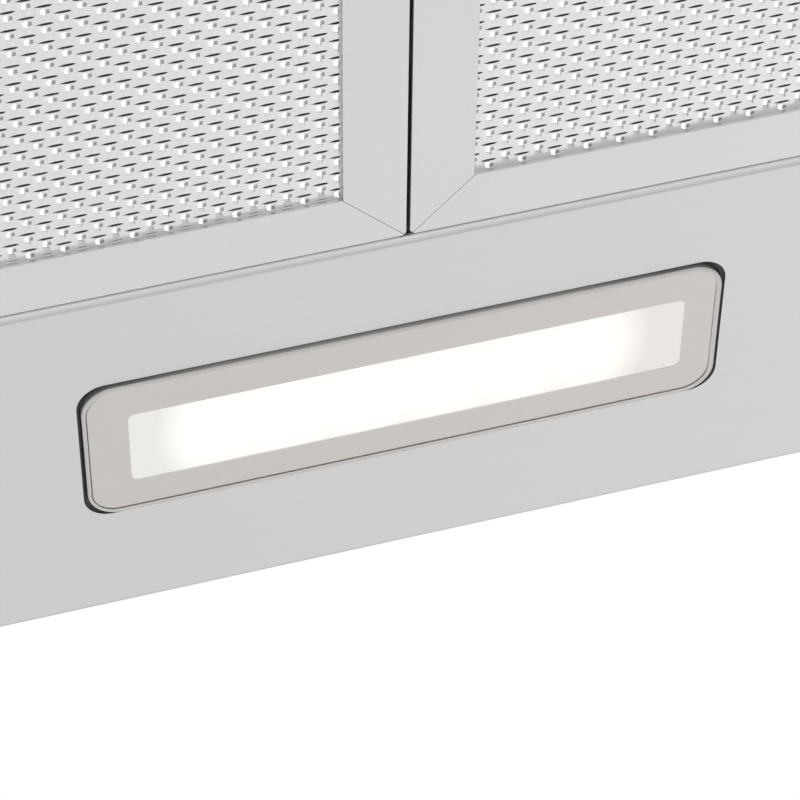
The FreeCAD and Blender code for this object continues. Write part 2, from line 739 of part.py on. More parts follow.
def window(grow, z0, z1):
    half_x = WINDOW_LENGTH / 2 + grow
    half_y = WINDOW_WIDTH / 2 + grow
    return rounded_box(
        WINDOW_SHIFT - half_x, WINDOW_SHIFT + half_x, -LAMP_FROM_WALL - half_y, -LAMP_FROM_WALL + half_y,
        z0, z1, WINDOW_CORNER_R + grow,
    )


def lamp_mask():
    z0 = -LAMP_PROUD + LAMP_FACE + MASK_PLAY
    sheet = lamp_outline(-LAMP_WALL - BUTTON_PLAY, z0, z0 + MASK_SHEET)
    return sheet.cut(window(0, z0 - MASK_SHEET, z0 + 2 * MASK_SHEET))


def lamp_diffuser():
    z0 = -LAMP_PROUD + LAMP_FACE + MASK_PLAY + MASK_SHEET
    return lamp_outline(-LAMP_WALL - BUTTON_PLAY, z0, z0 + DIFFUSER_SHEET)


def lamp_screw_points():
    reach_x = LAMP_HALF_X + LAMP_FLANGE / 2 + LAMP_GAP
    z = LAMP_SEAT + LAMP_BODY_WALL
    return [vec(i * reach_x, -LAMP_FROM_WALL + j * LAMP_HALF_Y / 2, z) for i in (-1, 1) for j in (-1, 1)]


def lamp_housing():
    """Flange on the tray, pocket for the lid, and the reflector box above."""
    grow = LAMP_GAP + LAMP_FLANGE
    flange = lamp_outline(grow, SHEET, LAMP_SEAT + LAMP_BODY_WALL)
    pocket = lamp_outline(BUTTON_PLAY, 0, LAMP_SEAT)
    body = window(2 * LAMP_BODY_WALL + SHEET, LAMP_SEAT, LAMP_ROOF)
    hollow = window(LAMP_BODY_WALL + SHEET, 0, LAMP_ROOF - LAMP_BODY_WALL)
    cuts = [pocket, hollow]
    cuts += [screw_hole(point, Z_AXIS, LAMP_SEAT + LAMP_BODY_WALL) for point in lamp_screw_points()]
    return cut_all(fuse_all([flange, body]), cuts)


def lamp_screws():
    return [screw(point, Z_AXIS, LAMP_SEAT + LAMP_BODY_WALL - SHEET) for point in lamp_screw_points()]


def led_board():
    z1 = LAMP_ROOF - LAMP_BODY_WALL
    x0 = WINDOW_SHIFT - WINDOW_LENGTH / 2
    half_y = LED_BOARD_WIDTH / 2
    return box(
        x0, x0 + WINDOW_LENGTH, -LAMP_FROM_WALL - half_y, -LAMP_FROM_WALL + half_y, z1 - LED_BOARD_SHEET, z1,
    )


def leds():
    z1 = LAMP_ROOF - LAMP_BODY_WALL - LED_BOARD_SHEET
    y0 = -LAMP_FROM_WALL - LED_SIZE / 2
    chips = []
    for i in range(LED_COUNT):
        x0 = WINDOW_SHIFT + (i - (LED_COUNT - 1) / 2) * LED_PITCH - LED_SIZE / 2
        chips.append(box(x0, x0 + LED_SIZE, y0, y0 + LED_SIZE, z1 - LED_HEIGHT, z1))
    return chips


# Push buttons
def bezel():
    half_w = (BUTTON_COUNT - 1) / 2 * BUTTON_PITCH + BUTTON_WIDTH / 2 + BEZEL_MARGIN
    half_h = BUTTON_HEIGHT / 2 + BEZEL_MARGIN
    front = -DEPTH - BEZEL_SHEET
    plate = rounded_box(
        -half_w, half_w, front, -DEPTH, BUTTON_Z - half_h, BUTTON_Z + half_h, BEZEL_MARGIN, Y_AXIS,
    )
    return cut_all(plate, [button_hole(x, front - SHEET, -DEPTH + SHEET) for x in button_xs()])


def switch_block():
    """Block behind the band with a pocket for each button."""
    half_w = (BUTTON_COUNT - 1) / 2 * BUTTON_PITCH + BUTTON_WIDTH / 2 + BEZEL_MARGIN
    half_h = BUTTON_HEIGHT / 2 + BEZEL_MARGIN / 2
    front = -DEPTH + SHEET
    floor = front + SWITCH_DEPTH - SWITCH_FLOOR
    block = box(-half_w, half_w, front, front + SWITCH_DEPTH, BUTTON_Z - half_h, BUTTON_Z + half_h)
    return cut_all(block, [button_hole(x, front - SHEET, floor) for x in button_xs()])


def button(x):
    front = -DEPTH - BEZEL_SHEET - BUTTON_PROUD
    back = -DEPTH + SHEET + SWITCH_DEPTH - SWITCH_FLOOR - BUTTON_TRAVEL - BUTTON_PLAY
    half_w = BUTTON_WIDTH / 2
    half_h = BUTTON_HEIGHT / 2
    cap_back = -DEPTH + 2 * SHEET + BUTTON_PROUD
    cap = rounded_box(
        x - half_w, x + half_w, front, cap_back, BUTTON_Z - half_h, BUTTON_Z + half_h,
        BUTTON_CORNER_R, Y_AXIS,
    )
    rim = [edge for edge in cap.Edges if edge.BoundBox.YMax < front + 1e-6]
    cap = cap.makeFillet(BUTTON_PLAY * 2, rim)
    stem = STEM_WIDTH / 2
    return fuse_all([cap, box(x - stem, x + stem, cap_back - SHEET, back, BUTTON_Z - stem, BUTTON_Z + stem)])


# Blower
def scroll_point(turn, shrink, x):
    """Point of the scroll wall, the turn counted in degrees from the cut off."""
    radius = SCROLL_START_R + (SCROLL_END_R - SCROLL_START_R) * turn / SCROLL_SWEEP - shrink
    angle = math.radians(turn - SCROLL_SWEEP)
    return vec(x, AXIS_Y + radius * math.cos(angle), AXIS_Z + radius * math.sin(angle))


def scroll_block(shrink, x0, x1, top):
    arcs = 5
    step = SCROLL_SWEEP / arcs
    edges = []
    for i in range(arcs):
        ends = [scroll_point((i + part) * step, shrink, x0) for part in (0, 0.5, 1)]
        edges.append(Part.Arc(ends[0], ends[1], ends[2]).toShape())
    first = scroll_point(0, shrink, x0)
    last = scroll_point(SCROLL_SWEEP, shrink, x0)
    outlet = [last, vec(x0, last.y, top), vec(x0, first.y, top), first]
    edges += [Part.makeLine(outlet[i], outlet[i + 1]) for i in range(3)]
    return Part.Face(Part.Wire(edges)).extrude(vec(x1 - x0, 0, 0))


def grommet_points():
    points = []
    for i in range(3):
        angle = math.radians(90 + 120 * i)
        y = AXIS_Y + GROMMET_CIRCLE_R * math.cos(angle)
        points.append(vec(SCROLL_WIDTH / 2, y, AXIS_Z + GROMMET_CIRCLE_R * math.sin(angle)))
    return points


def blower_housing():
    half = SCROLL_WIDTH / 2
    inner = half - SCROLL_WALL
    scroll = scroll_block(0, -half, half, CANOPY_Z)
    hollow = scroll_block(SCROLL_WALL, -inner, inner, TOP_Z)
    front = AXIS_Y + TONGUE_Y - OUTLET_FLANGE
    back = AXIS_Y + SCROLL_END_R + OUTLET_FLANGE
    flange = box(-half - OUTLET_FLANGE, half + OUTLET_FLANGE, front, back, CANOPY_Z - SCROLL_WALL, CANOPY_Z)
    inlet = rod(INLET_R, vec(-SCROLL_WIDTH, AXIS_Y, AXIS_Z), X_AXIS, 2 * SCROLL_WIDTH)
    cuts = [hollow, inlet]
    reach = COLLAR_SHEET + SHEET + 2 * SCROLL_WALL
    cuts += [screw_hole(point, Z_AXIS, reach) for point in collar_screw_points()]
    cuts += [screw_hole(point, X_AXIS, 2 * SCROLL_WALL) for point in grommet_points()]
    return cut_all(fuse_all([scroll, flange]), cuts)


def inlet_rings():
    """Bevelled rims on both inlets."""
    rings = []
    for sign in (-1, 1):
        start = vec(sign * SCROLL_WIDTH / 2, AXIS_Y, AXIS_Z)
        ring = tube(INLET_R + INLET_RIM, INLET_R - INLET_RIM / 4, start, X_AXIS * sign, INLET_RIM)
        far = start.x + sign * INLET_RIM
        rim = [edge for edge in ring.Edges if abs(edge.CenterOfMass.x - far) < 1e-6]
        rings.append(ring.makeChamfer(INLET_RIM / 3, rim))
    return rings


def blade(angle):
    """One forward curved blade running the full width of the wheel."""
    r0 = IMPELLER_R - IMPELLER_BLADE
    r1 = IMPELLER_R - BLADE_SHEET / 2
    half = BLADE_SHEET / 2
    bow = math.radians(BLADE_LEAN)

    def point(radius, turn, shift):
        a = math.radians(angle) + turn
        y = AXIS_Y + radius * math.cos(a) - shift * math.sin(a)
        return vec(-IMPELLER_WIDTH / 2, y, AXIS_Z + radius * math.sin(a) + shift * math.cos(a))

    middle = (r0 + r1) / 2
    lower = [point(r0, 0, -half), point(middle, bow / 4, -half), point(r1, bow, -half)]
    upper = [point(r1, bow, half), point(middle, bow / 4, half), point(r0, 0, half)]
    edges = [Part.Arc(lower[0], lower[1], lower[2]).toShape(), Part.makeLine(lower[2], upper[0])]
    edges += [Part.Arc(upper[0], upper[1], upper[2]).toShape(), Part.makeLine(upper[2], lower[0])]
    return Part.Face(Part.Wire(edges)).extrude(vec(IMPELLER_WIDTH, 0, 0))


def hub_start():
    return MOTOR_START - HUB_LENGTH - GROMMET_LENGTH


def impeller():
    half = IMPELLER_WIDTH / 2
    inner = IMPELLER_R - IMPELLER_BLADE
    start = hub_start()
    centre = vec(start, AXIS_Y, AXIS_Z)
    disc = rod(IMPELLER_R, centre + X_AXIS * (HUB_LENGTH / 2), X_AXIS, IMPELLER_RING)
    hub = rod(HUB_R, centre, X_AXIS, HUB_LENGTH)
    rings = []
    for x in (-half, half - IMPELLER_RING):
        rings.append(tube(IMPELLER_R, inner - BLADE_SHEET, vec(x, AXIS_Y, AXIS_Z), X_AXIS, IMPELLER_RING))
    blades = [blade(i * 360.0 / BLADE_COUNT) for i in range(BLADE_COUNT)]
    wheel = fuse_all([disc, hub] + rings + blades)
    return wheel.cut(rod(SHAFT_R, centre - X_AXIS, X_AXIS, HUB_LENGTH + 2))


def shaft():
    start = hub_start() - SHEET
    return rod(SHAFT_R, vec(start, AXIS_Y, AXIS_Z), X_AXIS, MOTOR_START + MOTOR_LENGTH / 3 - start)


def motor():
    start = vec(MOTOR_START, AXIS_Y, AXIS_Z)
    body = rod(MOTOR_R, start, X_AXIS, MOTOR_LENGTH)
    rims = [edge for edge in body.Edges if edge.BoundBox.XLength < 1e-6]
    body = body.makeChamfer(MOTOR_EDGE_R, rims)
    bore = rod(SHAFT_R + SHAFT_PLAY, start - X_AXIS, X_AXIS, MOTOR_LENGTH / 3 + 2)
    return body.cut(bore)


def motor_bracket():
    """Three armed plate that carries the motor across the inlet."""
    sheet = BRACKET_SHEET
    centre = vec(MOTOR_END, AXIS_Y, AXIS_Z)
    pieces = [rod(MOTOR_R * 0.75, centre, X_AXIS, sheet)]
    reach = GROMMET_CIRCLE_R + GROMMET_R
    for i in range(3):
        arm = box(0, sheet, 0, reach, -BRACKET_ARM / 2, BRACKET_ARM / 2)
        arm.Placement = FreeCAD.Placement(centre, FreeCAD.Rotation(X_AXIS, 90 + 120 * i))
        pieces.append(arm)
    holes = [screw_hole(point + X_AXIS * GROMMET_LENGTH, X_AXIS, 2 * sheet) for point in grommet_points()]
    return cut_all(fuse_all(pieces), holes)


def grommets():
    bore = SCREW_R + SCREW_PLAY
    return [tube(GROMMET_R, bore, point, X_AXIS, GROMMET_LENGTH) for point in grommet_points()]


def motor_screws():
    rise = GROMMET_LENGTH + BRACKET_SHEET
    return [screw(point + X_AXIS * rise, X_AXIS, rise + SCROLL_WALL) for point in grommet_points()]


def junction_box():
    x0 = BOX_X - BOX_WIDTH / 2
    x1 = BOX_X + BOX_WIDTH / 2
    y0 = -SHEET - BOX_DEPTH
    wall = BOX_WALL
    shell = box(x0, x1, y0, -SHEET, BOX_Z, BOX_Z + BOX_HEIGHT)
    low, high = BOX_Z + wall, BOX_Z + BOX_HEIGHT - wall
    return shell.cut(box(x0 + wall, x1 - wall, y0 - wall, -SHEET - wall, low, high))


def junction_lid():
    y1 = -SHEET - BOX_DEPTH
    x0 = BOX_X - BOX_WIDTH / 2
    x1 = BOX_X + BOX_WIDTH / 2
    return rounded_box(x0, x1, y1 - BOX_WALL, y1, BOX_Z, BOX_Z + BOX_HEIGHT, BOX_WALL, Y_AXIS)


def capacitor():
    start = vec(CAPACITOR_X, CAPACITOR_Y, CAPACITOR_Z)
    can = rod(CAPACITOR_R, start, Z_AXIS, CAPACITOR_HEIGHT)
    rims = [edge for edge in can.Edges if edge.BoundBox.ZLength < 1e-6]
    return can.makeChamfer(2 * SHEET, rims)


def capacitor_strap():
    """Band round the capacitor with a foot on the back panel."""
    z = CAPACITOR_Z + (CAPACITOR_HEIGHT - STRAP_HEIGHT) / 2
    start = vec(CAPACITOR_X, CAPACITOR_Y, z)
    bore = CAPACITOR_R + STRAP_PLAY
    band = rod(bore + STRAP_SHEET, start, Z_AXIS, STRAP_HEIGHT)
    foot = CAPACITOR_R + 5 * STRAP_SHEET
    plate = box(CAPACITOR_X - foot, CAPACITOR_X + foot, -SHEET - STRAP_SHEET, -SHEET, z, z + STRAP_HEIGHT)
    return fuse_all([band, plate]).cut(rod(bore, start, Z_AXIS, STRAP_HEIGHT))


def cable_gland():
    centre = vec(GLAND_X, -GLAND_FROM_WALL, TOP_Z)
    shank = GLAND_R - 2 * SHEET
    body = rod(GLAND_R, centre, Z_AXIS, GLAND_RISE)
    top = [edge for edge in body.Edges if edge.CenterOfMass.z > TOP_Z + GLAND_RISE * 0.9]
    body = body.makeChamfer(2 * SHEET, top)
    drop = SHEET + GLAND_NUT
    stem = rod(shank, centre - Z_AXIS * drop, Z_AXIS, drop)
    nut = rod(GLAND_R + SHEET, centre - Z_AXIS * drop, Z_AXIS, GLAND_NUT)
    bore = rod(GLAND_BORE_R, centre - Z_AXIS * (2 * drop), Z_AXIS, GLAND_RISE + 3 * drop)
    return fuse_all([body, stem, nut]).cut(bore)


# Outlet collar with its damper
def outlet_collar():
    base = vec(0, DUCT_Y, TOP_Z)
    half = COLLAR_R + COLLAR_FLANGE
    flange = rounded_box(
        -half, half, DUCT_Y - half, DUCT_Y + half, TOP_Z, TOP_Z + COLLAR_SHEET, COLLAR_FLANGE,
    )
    spigot = rod(COLLAR_R, base, Z_AXIS, COLLAR_SHEET + COLLAR_HEIGHT)
    bore = rod(COLLAR_R - COLLAR_WALL, base, Z_AXIS, COLLAR_SHEET + COLLAR_HEIGHT)
    axle = rod(AXLE_R, vec(-2 * COLLAR_R, DUCT_Y, AXLE_Z), X_AXIS, 4 * COLLAR_R)
    holes = [screw_hole(point, Z_AXIS, 2 * COLLAR_SHEET) for point in collar_screw_points()]
    return cut_all(fuse_all([flange, spigot]), [bore, axle] + holes)


def damper_axle():
    return rod(AXLE_R, vec(-COLLAR_R, DUCT_Y, AXLE_Z), X_AXIS, 2 * COLLAR_R)


def collar_screws():
    length = COLLAR_SHEET + SHEET + SCROLL_WALL
    return [screw(point, Z_AXIS, length) for point in collar_screw_points()]


def damper_flap(sign):
    """Half disc flap with two knuckles on the axle, on one side of it."""
    radius = COLLAR_R - COLLAR_WALL - FLAP_PLAY
    half = FLAP_SHEET / 2
    disc = rod(radius, vec(0, DUCT_Y, AXLE_Z - half), Z_AXIS, FLAP_SHEET)
    y0, y1 = sorted((DUCT_Y + sign * FLAP_START, DUCT_Y + sign * 2 * COLLAR_R))
    pieces = [disc.common(box(-COLLAR_R, COLLAR_R, y0, y1, AXLE_Z - half, AXLE_Z + half))]
    outer = AXLE_R + KNUCKLE_PLAY + KNUCKLE_WALL
    for x in (-COLLAR_R / 2, COLLAR_R / 2):
        start = x + sign * (KNUCKLE_LENGTH / 2 + SHEET) - KNUCKLE_LENGTH / 2
        pieces.append(rod(outer, vec(start, DUCT_Y, AXLE_Z), X_AXIS, KNUCKLE_LENGTH))
        near, far = sorted((DUCT_Y, DUCT_Y + sign * (FLAP_START + SHEET)))
        pieces.append(box(start, start + KNUCKLE_LENGTH, near, far, AXLE_Z - half, AXLE_Z + half))
    bore = rod(AXLE_R + KNUCKLE_PLAY, vec(-COLLAR_R, DUCT_Y, AXLE_Z), X_AXIS, 2 * COLLAR_R)
    return fuse_all(pieces).cut(bore)


def back_screws():
    return [screw(point, Y_AXIS * -1.0, 2 * SHEET) for point in back_screw_points()]


def whole_hood():
    """Every node of the hood by name, each a shape or a list of shapes."""
    nodes = {
        "base_tray": base_tray(),
        "canopy_front": canopy_front(),
        "canopy_left": canopy_side(-1),
        "canopy_right": canopy_side(1),
        "canopy_top": canopy_top(),
        "back_panel": back_panel(),
        "back_screws": back_screws(),
        "chimney_lower": chimney_lower(),
        "chimney_screws": chimney_screws(),
        "chimney_upper": chimney_upper(),
        "chimney_bracket": chimney_bracket(),
        "bracket_screws": bracket_screws(),
        "lamp_cover": lamp_cover(),
        "lamp_mask": lamp_mask(),
        "lamp_diffuser": lamp_diffuser(),
        "lamp_housing": lamp_housing(),
        "lamp_screws": lamp_screws(),
        "led_board": led_board(),
        "leds": leds(),
        "button_bezel": bezel(),
        "switch_block": switch_block(),
        "blower_housing": blower_housing(),
        "inlet_rings": inlet_rings(),
        "impeller": impeller(),
        "motor_shaft": shaft(),
        "motor": motor(),
        "motor_bracket": motor_bracket(),
        "motor_grommets": grommets(),
        "motor_screws": motor_screws(),
        "junction_box": junction_box(),
        "junction_box_lid": junction_lid(),
        "capacitor": capacitor(),
        "capacitor_strap": capacitor_strap(),
        "cable_gland": cable_gland(),
        "outlet_collar": outlet_collar(),
        "damper_axle": damper_axle(),
        "collar_screws": collar_screws(),
        "damper_flap_front": damper_flap(-1),
        "damper_flap_back": damper_flap(1),
    }
    filter_nodes = {
        "frame": filter_frame(),
        "front_mesh": [front_mesh()],
        "core": [filter_core()],
        "back_mesh": [back_mesh()],
        "tongues": tongues(),
        "latch": [latch()],
    }
    for name, shapes in filter_nodes.items():
        nodes["filter_right_" + name] = shapes
        nodes["filter_left_" + name] = [mirrored(shape) for shape in shapes]
    for i, x in enumerate(button_xs()):
        nodes["button_" + str(i + 1)] = button(x)
    return nodes


def export(nodes):
    os.makedirs("parts", exist_ok=True)
    for name, shape in nodes.items():
        solid = Part.makeCompound(shape) if isinstance(shape, list) else shape
        solid.exportStep("parts/" + name + ".step")


export(whole_hood())
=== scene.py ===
import math
import bmesh
import bpy
from mathutils import Matrix, Vector


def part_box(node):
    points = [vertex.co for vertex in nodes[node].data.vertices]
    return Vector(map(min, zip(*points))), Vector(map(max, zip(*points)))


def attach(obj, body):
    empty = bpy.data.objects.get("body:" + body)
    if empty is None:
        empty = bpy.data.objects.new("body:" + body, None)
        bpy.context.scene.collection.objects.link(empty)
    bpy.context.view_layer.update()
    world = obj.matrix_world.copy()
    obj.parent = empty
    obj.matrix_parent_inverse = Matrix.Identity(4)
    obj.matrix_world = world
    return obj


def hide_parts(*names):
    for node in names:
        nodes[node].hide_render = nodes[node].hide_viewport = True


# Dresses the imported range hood: a brushed steel shell, two expanded mesh filters, a lit lamp
# under a clear lid, and the blower and fixings inside. Lengths are metres, in the CAD frame.
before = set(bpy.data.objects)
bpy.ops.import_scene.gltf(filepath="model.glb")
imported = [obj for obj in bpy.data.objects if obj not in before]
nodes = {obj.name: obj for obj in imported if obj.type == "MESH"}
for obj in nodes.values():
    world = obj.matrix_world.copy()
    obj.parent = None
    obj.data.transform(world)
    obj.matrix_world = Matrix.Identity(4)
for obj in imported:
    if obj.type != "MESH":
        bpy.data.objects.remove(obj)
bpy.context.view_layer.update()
scene = bpy.context.scene
MM = 0.001
ACROSS, TO_WALL, UP = range(3)
SIDES = ("left", "right")

# One cell of the filters' expanded mesh, in millimetres: a strand between two half open slits,
# with a small scoop pressed out of it and a painted shadow spot beside the scoop, a flat face
# painted darker. Pairs of whole numbers are a column and a row of the strand's grid.
STRAND_WIDE = 4.953
SLIT_STEP = 6.3
SLIT_HALF = 2.45
SLIT_OPEN = 0.41
SLIT_TAPER_LEFT = 2
SLIT_TAPER_RIGHT = 5
FINE_ACROSS = (-STRAND_WIDE / 2, -2.2, -1.25, -0.85, -0.3, 0.25, 0.62, 1.55, 2.2, STRAND_WIDE / 2)
FINE_ALONG = (0.0, 0.95, 1.4, 2.8, 3.4, SLIT_STEP)
PLAIN_ACROSS = (-STRAND_WIDE / 2, -2.2, 0.0, 2.2, STRAND_WIDE / 2)
PLAIN_ALONG = (0.0, SLIT_STEP / 2, SLIT_STEP)
SCOOP_COLUMNS = (3, 4, 5)
SCOOP_ROWS = (1, 2, 3)
SCOOP_CORNERS = ((3, 1), (6, 1), (3, 4), (6, 4))
SCOOP_MIDDLE = (-0.3, 1.9)
SCOOP_SLOPE = (0.45, 0.3)
SCOOP_ROUND = 0.22
SHADOW_SPOT = (6, 2)
SHADOW_SPOT_TONE = 0.42

# Sheets of expanded mesh, and their plain margin along the hem of a filter's frame, whose metal is
# painted darker than the mesh as shade along the hem
STRAND_PITCH = STRAND_WIDE * MM
SLIT_PITCH = SLIT_STEP * MM
SLIT_PHASE = {"left": (-20.7 * MM, -159.45 * MM), "right": (24.0 * MM, -159.15 * MM)}
FRAME_FACE = 19.0 * MM
MESH_TUCK = 3.5 * MM
MESH_BED = 0.05 * MM
MARGIN_START = 19.02 * MM
MARGIN_RISE = 1.4 * MM
MARGIN_WIDE = 0.45 * MM
MARGIN_BEHIND = 0.03 * MM

# Painted shade on the filter frames' hem, and painted light and shade on the tray: a dark line
# at the crease round the filter opening with a lighter band inside it, the lip lightened down in
# the gap and the other upright walls darkened, and a dark line at the edge at the wall
SHADE_EDGE = (-0.1 * MM, 0.1 * MM)
HEM_WALL = (0.2 * MM, 0.7 * MM)
HEM_PAINTED_SHADE = 0.95
FILTER_GAP = 1.5 * MM
CREASE_AT = 1.65 * MM
CREASE_HALF = 0.85 * MM
CREASE_PAINTED_SHADE = 0.75
BAND_PAINTED_LIGHT = 1.06
UPRIGHT = (0.8 * MM, 1.1 * MM)
LIP_PAINTED_LIGHT = 1.35
SIDE_PAINTED_SHADE = 0.88
WALL_EDGE = (-0.9 * MM, -0.4 * MM)
WALL_EDGE_PAINTED_SHADE = 0.82

# Lamp window, and the glow of the six chips behind it
WINDOW_MIDDLE = (1.1 * MM, -71.3 * MM)
WINDOW_HALF = (86.9 * MM, 14.7 * MM)
WINDOW_EDGE = 0.5 * MM
CHIP_MIDDLE = (-0.3 * MM, -72.8 * MM)
CHIP_PITCH = 23.6 * MM
CHIP_LAST = 2.5 * CHIP_PITCH
END_FALL = 1.5
GLOW_REACH = (13.5 * MM, 28.0 * MM)
GLOW_LEVEL = (0.97, 0.725)
GLOW_TINTS = ((1.0, 1.0, 0.95), (0.98, 0.945, 0.895))
# The opal sheet is white, but its base colour is painted near black so that light falling on it
# adds nothing and the glow alone sets its brightness.
OPAL_DARKENED = (0.1, 0.1, 0.098, 1)
OPAL_ROUGH = 0.5

# Lamp lid: its clear rim is made opaque and painted pale where it stands out of the opening, and
# painted dark down in the gap as shade, with a painted glow of the lamp in the gap near its middle.
# Its rim hides most of what lies behind, and its clear part next to nothing.
LID_PAINTED_TINTS = ((0.71, 0.685, 0.665), (0.75, 0.725, 0.705))
LID_HAZE = 30.0
LID_IOR = 1.49
LID_ROUGH = 0.1
LID_DEPTHS = (-0.7 * MM, -0.1 * MM)
LID_WITHIN = 0.9
GAP_LIT = (55.0 * MM, 95.0 * MM)
GAP_PAINTED_SHADE = (0.75, 0.3)
RIM_FACING = (0.9, 0.995)
RIM_COVER = 0.85
CLEAR_COVER = 0.04
CLEAR_MIDDLE = (-0.47 * MM, -71.83 * MM)
CLEAR_HALF = (97.93 * MM, 25.93 * MM)
CLEAR_ROUND = 8.5 * MM

# Noise of the finishes: most of its values lie between these two
NOISE_LOW = 0.3
NOISE_HIGH = 0.7
NOISE_ROUGHNESS = 0.55

# Brushed steel. Here and below, counts and clouds are steps of noise in a metre, and a relief is
# its depth and strength.
LINE_COUNT = 2600.0
LINE_BREAKS = 14.0
LINE_TONE = (-0.012, 0.01)
LINE_RELIEF = (0.01 * MM, 0.15)
BRUSHED_CLOUD = 9.0
BRUSHED_ROUGH = (0.325, 0.355)
# The tray is the shell's steel, but its underside is painted lighter for the dim light it gets; its
# upright walls are painted back down to the shell's tone.
TRAY_LEVEL = 0.74
SHELL_LEVEL = 0.65
MASK_LEVEL = 0.685
MASK_WARMTH = 0.04

# Satin metals, each with its brightness and roughness
SPECK_COUNT = 900.0
SPECK_DETAIL = 3.0
SPECK_TONE = 0.975
SPECK_RELIEF = (0.01 * MM, 0.08)
SATIN_CLOUD = 14.0
SATIN_PLAY = 0.06
FRAME_METAL = (0.792, 0.36)
MESH_METAL = (0.875, 0.22)
# The margin is the mesh's own aluminium, painted darker as shade along the hem.
MARGIN_SHADED_METAL = (0.62, 0.5)
CORE_METAL = (0.5, 0.6)
SCREW_METAL = (0.6, 0.3)
MOTOR_METAL = (0.45, 0.4)
CAPACITOR_METAL = (0.72, 0.3)
BUTTON_METAL = (0.7, 0.25)

# Zinc coated sheet
CRYSTAL_COUNT = 110.0
CRYSTAL_TONE = (0.47, 0.63)
CRYSTAL_ROUGH = (0.35, 0.5)

# Plastics and rubber
GRAIN_COUNT = 700.0
GRAIN_RELIEF = (0.03 * MM, 0.3)
PLASTIC_CLOUD = 18.0
PLASTIC_DARK = 0.88
PLASTIC_PLAY = 0.06
PLASTIC_ROUGH = 0.45
RUBBER_ROUGH = 0.7
BLACK = (0.03, 0.03, 0.032)
MID_GREY = (0.32, 0.33, 0.34)
BOARD_WHITE = (0.82, 0.82, 0.8)
RUBBER_BLACK = (0.02, 0.02, 0.02)

# Camera of the photograph: a long lens below the front left of the hood, looking up
CAMERA_PLACE = Vector((-0.2141, -0.8793, -0.6994))
CAMERA_RIGHT = Vector((0.95987, -0.00948, -0.28029))
CAMERA_UP = Vector((0.20236, -0.66857, 0.71559))
CAMERA_LENS = 162.44
CAMERA_SENSOR = 36.0
CAMERA_NEAR = 0.05

# Stage: the floor, the white room's light on the hood and then its look, and the soft lights
FLOOR_DROP = 1.6
FLOOR_HALF = 9.0
FLOOR_TONE = (0.84, 0.87)
FLOOR_CLOUD = 1.5
FLOOR_ROUGH = 0.8
ROOM_LEVEL = (0.88, 1.0)
HOOD_MIDDLE = (0, -0.25, 0.2)
UNDERSIDE_MIDDLE = (0, -0.25, 0)
KEY_PLACE = (-1.8, -2.2, 2.4)
FILL_PLACE = (2.4, -1.4, 1.2)
SWEEP_PLACE = (1.9, 1.7)
LOW_PLACE = (-0.8, 0.2, -1.4)
WIDE_BEAM = math.pi
LOW_BEAM = 2 * math.pi / 3


# Node trees
def join(tree, node, inputs):
    """Sets inputs of a node, by name or number, to values or to outputs of other nodes."""
    for label, value in inputs.items():
        if isinstance(value, bpy.types.NodeSocket):
            tree.links.new(value, node.inputs[label])
        else:
            node.inputs[label].default_value = value


def add_node(tree, kind, inputs, **settings):
    """Adds a node with its settings and inputs, and returns its outputs."""
    node = tree.nodes.new(kind)
    for label, value in settings.items():
        setattr(node, label, value)
    join(tree, node, inputs)
    return node.outputs


def math_node(tree, operation, *values):
    """One step of arithmetic on numbers or outputs."""
    inputs = dict(enumerate(values))
    return add_node(tree, "ShaderNodeMath", inputs, operation=operation)["Value"]


def length_of(tree, *sides):
    """Length of the slant with two given sides."""
    squares = [math_node(tree, "MULTIPLY", side, side) for side in sides]
    return math_node(tree, "SQRT", math_node(tree, "ADD", *squares))


def own_place(tree, kind="Object"):
    """The piece's own coordinates, or its normal in them."""
    return add_node(tree, "ShaderNodeTexCoord", {})[kind]


def parts_of(tree, vector):
    """The separate x, y and z of a vector."""
    return add_node(tree, "ShaderNodeSeparateXYZ", {"Vector": vector})


def beyond(tree, middle, half):
    """Distances beyond the sides of a rectangle, in x and in y."""
    parts = parts_of(tree, own_place(tree))
    reach = []
    for axis in (ACROSS, TO_WALL):
        offset = math_node(tree, "SUBTRACT", parts[axis], middle[axis])
        reach.append(math_node(tree, "SUBTRACT", math_node(tree, "ABSOLUTE", offset), half[axis]))
    return reach


def outside(tree, middle, half):
    """Distance beyond a rectangle in x and y, negative inside it."""
    return math_node(tree, "MAXIMUM", *beyond(tree, middle, half))


def outside_rounded(tree, middle, half, radius):
    """Distance beyond a rectangle with rounded corners."""
    reach = beyond(tree, middle, [side - radius for side in half])
    sides = [math_node(tree, "MAXIMUM", part, 0.0) for part in reach]
    return math_node(tree, "SUBTRACT", length_of(tree, *sides), radius)


def object_noise(tree, scale, detail=2.0):
    """Noise over the piece's own coordinates, with a scale for each axis."""
    stretched = add_node(tree, "ShaderNodeMapping", {"Vector": own_place(tree), "Scale": scale})
    return add_node(tree, "ShaderNodeTexNoise", {
        "Vector": stretched["Vector"], "Scale": 1.0,
        "Detail": detail, "Roughness": NOISE_ROUGHNESS,
    })["Fac"]


def even_noise(tree, count, detail=2.0):
    """Noise with the same scale on every axis."""
    return object_noise(tree, (count,) * 3, detail)


def spread(tree, value, low, high, start=NOISE_LOW, end=NOISE_HIGH):
    """Turns a value from start to end into one from low to high."""
    return add_node(tree, "ShaderNodeMapRange", {
        "Value": value, "From Min": start, "From Max": end, "To Min": low, "To Max": high,
    })["Result"]


def tint(tree, value, dark, light, start=NOISE_LOW, end=NOISE_HIGH):
    """Turns a value from start to end into a colour between two."""
    ramp = tree.nodes.new("ShaderNodeValToRGB")
    for stop, place, colour in zip(ramp.color_ramp.elements, (start, end), (dark, light)):
        stop.position = place
        stop.color = (*colour, 1)
    join(tree, ramp, {"Fac": value})
    return ramp.outputs["Color"]


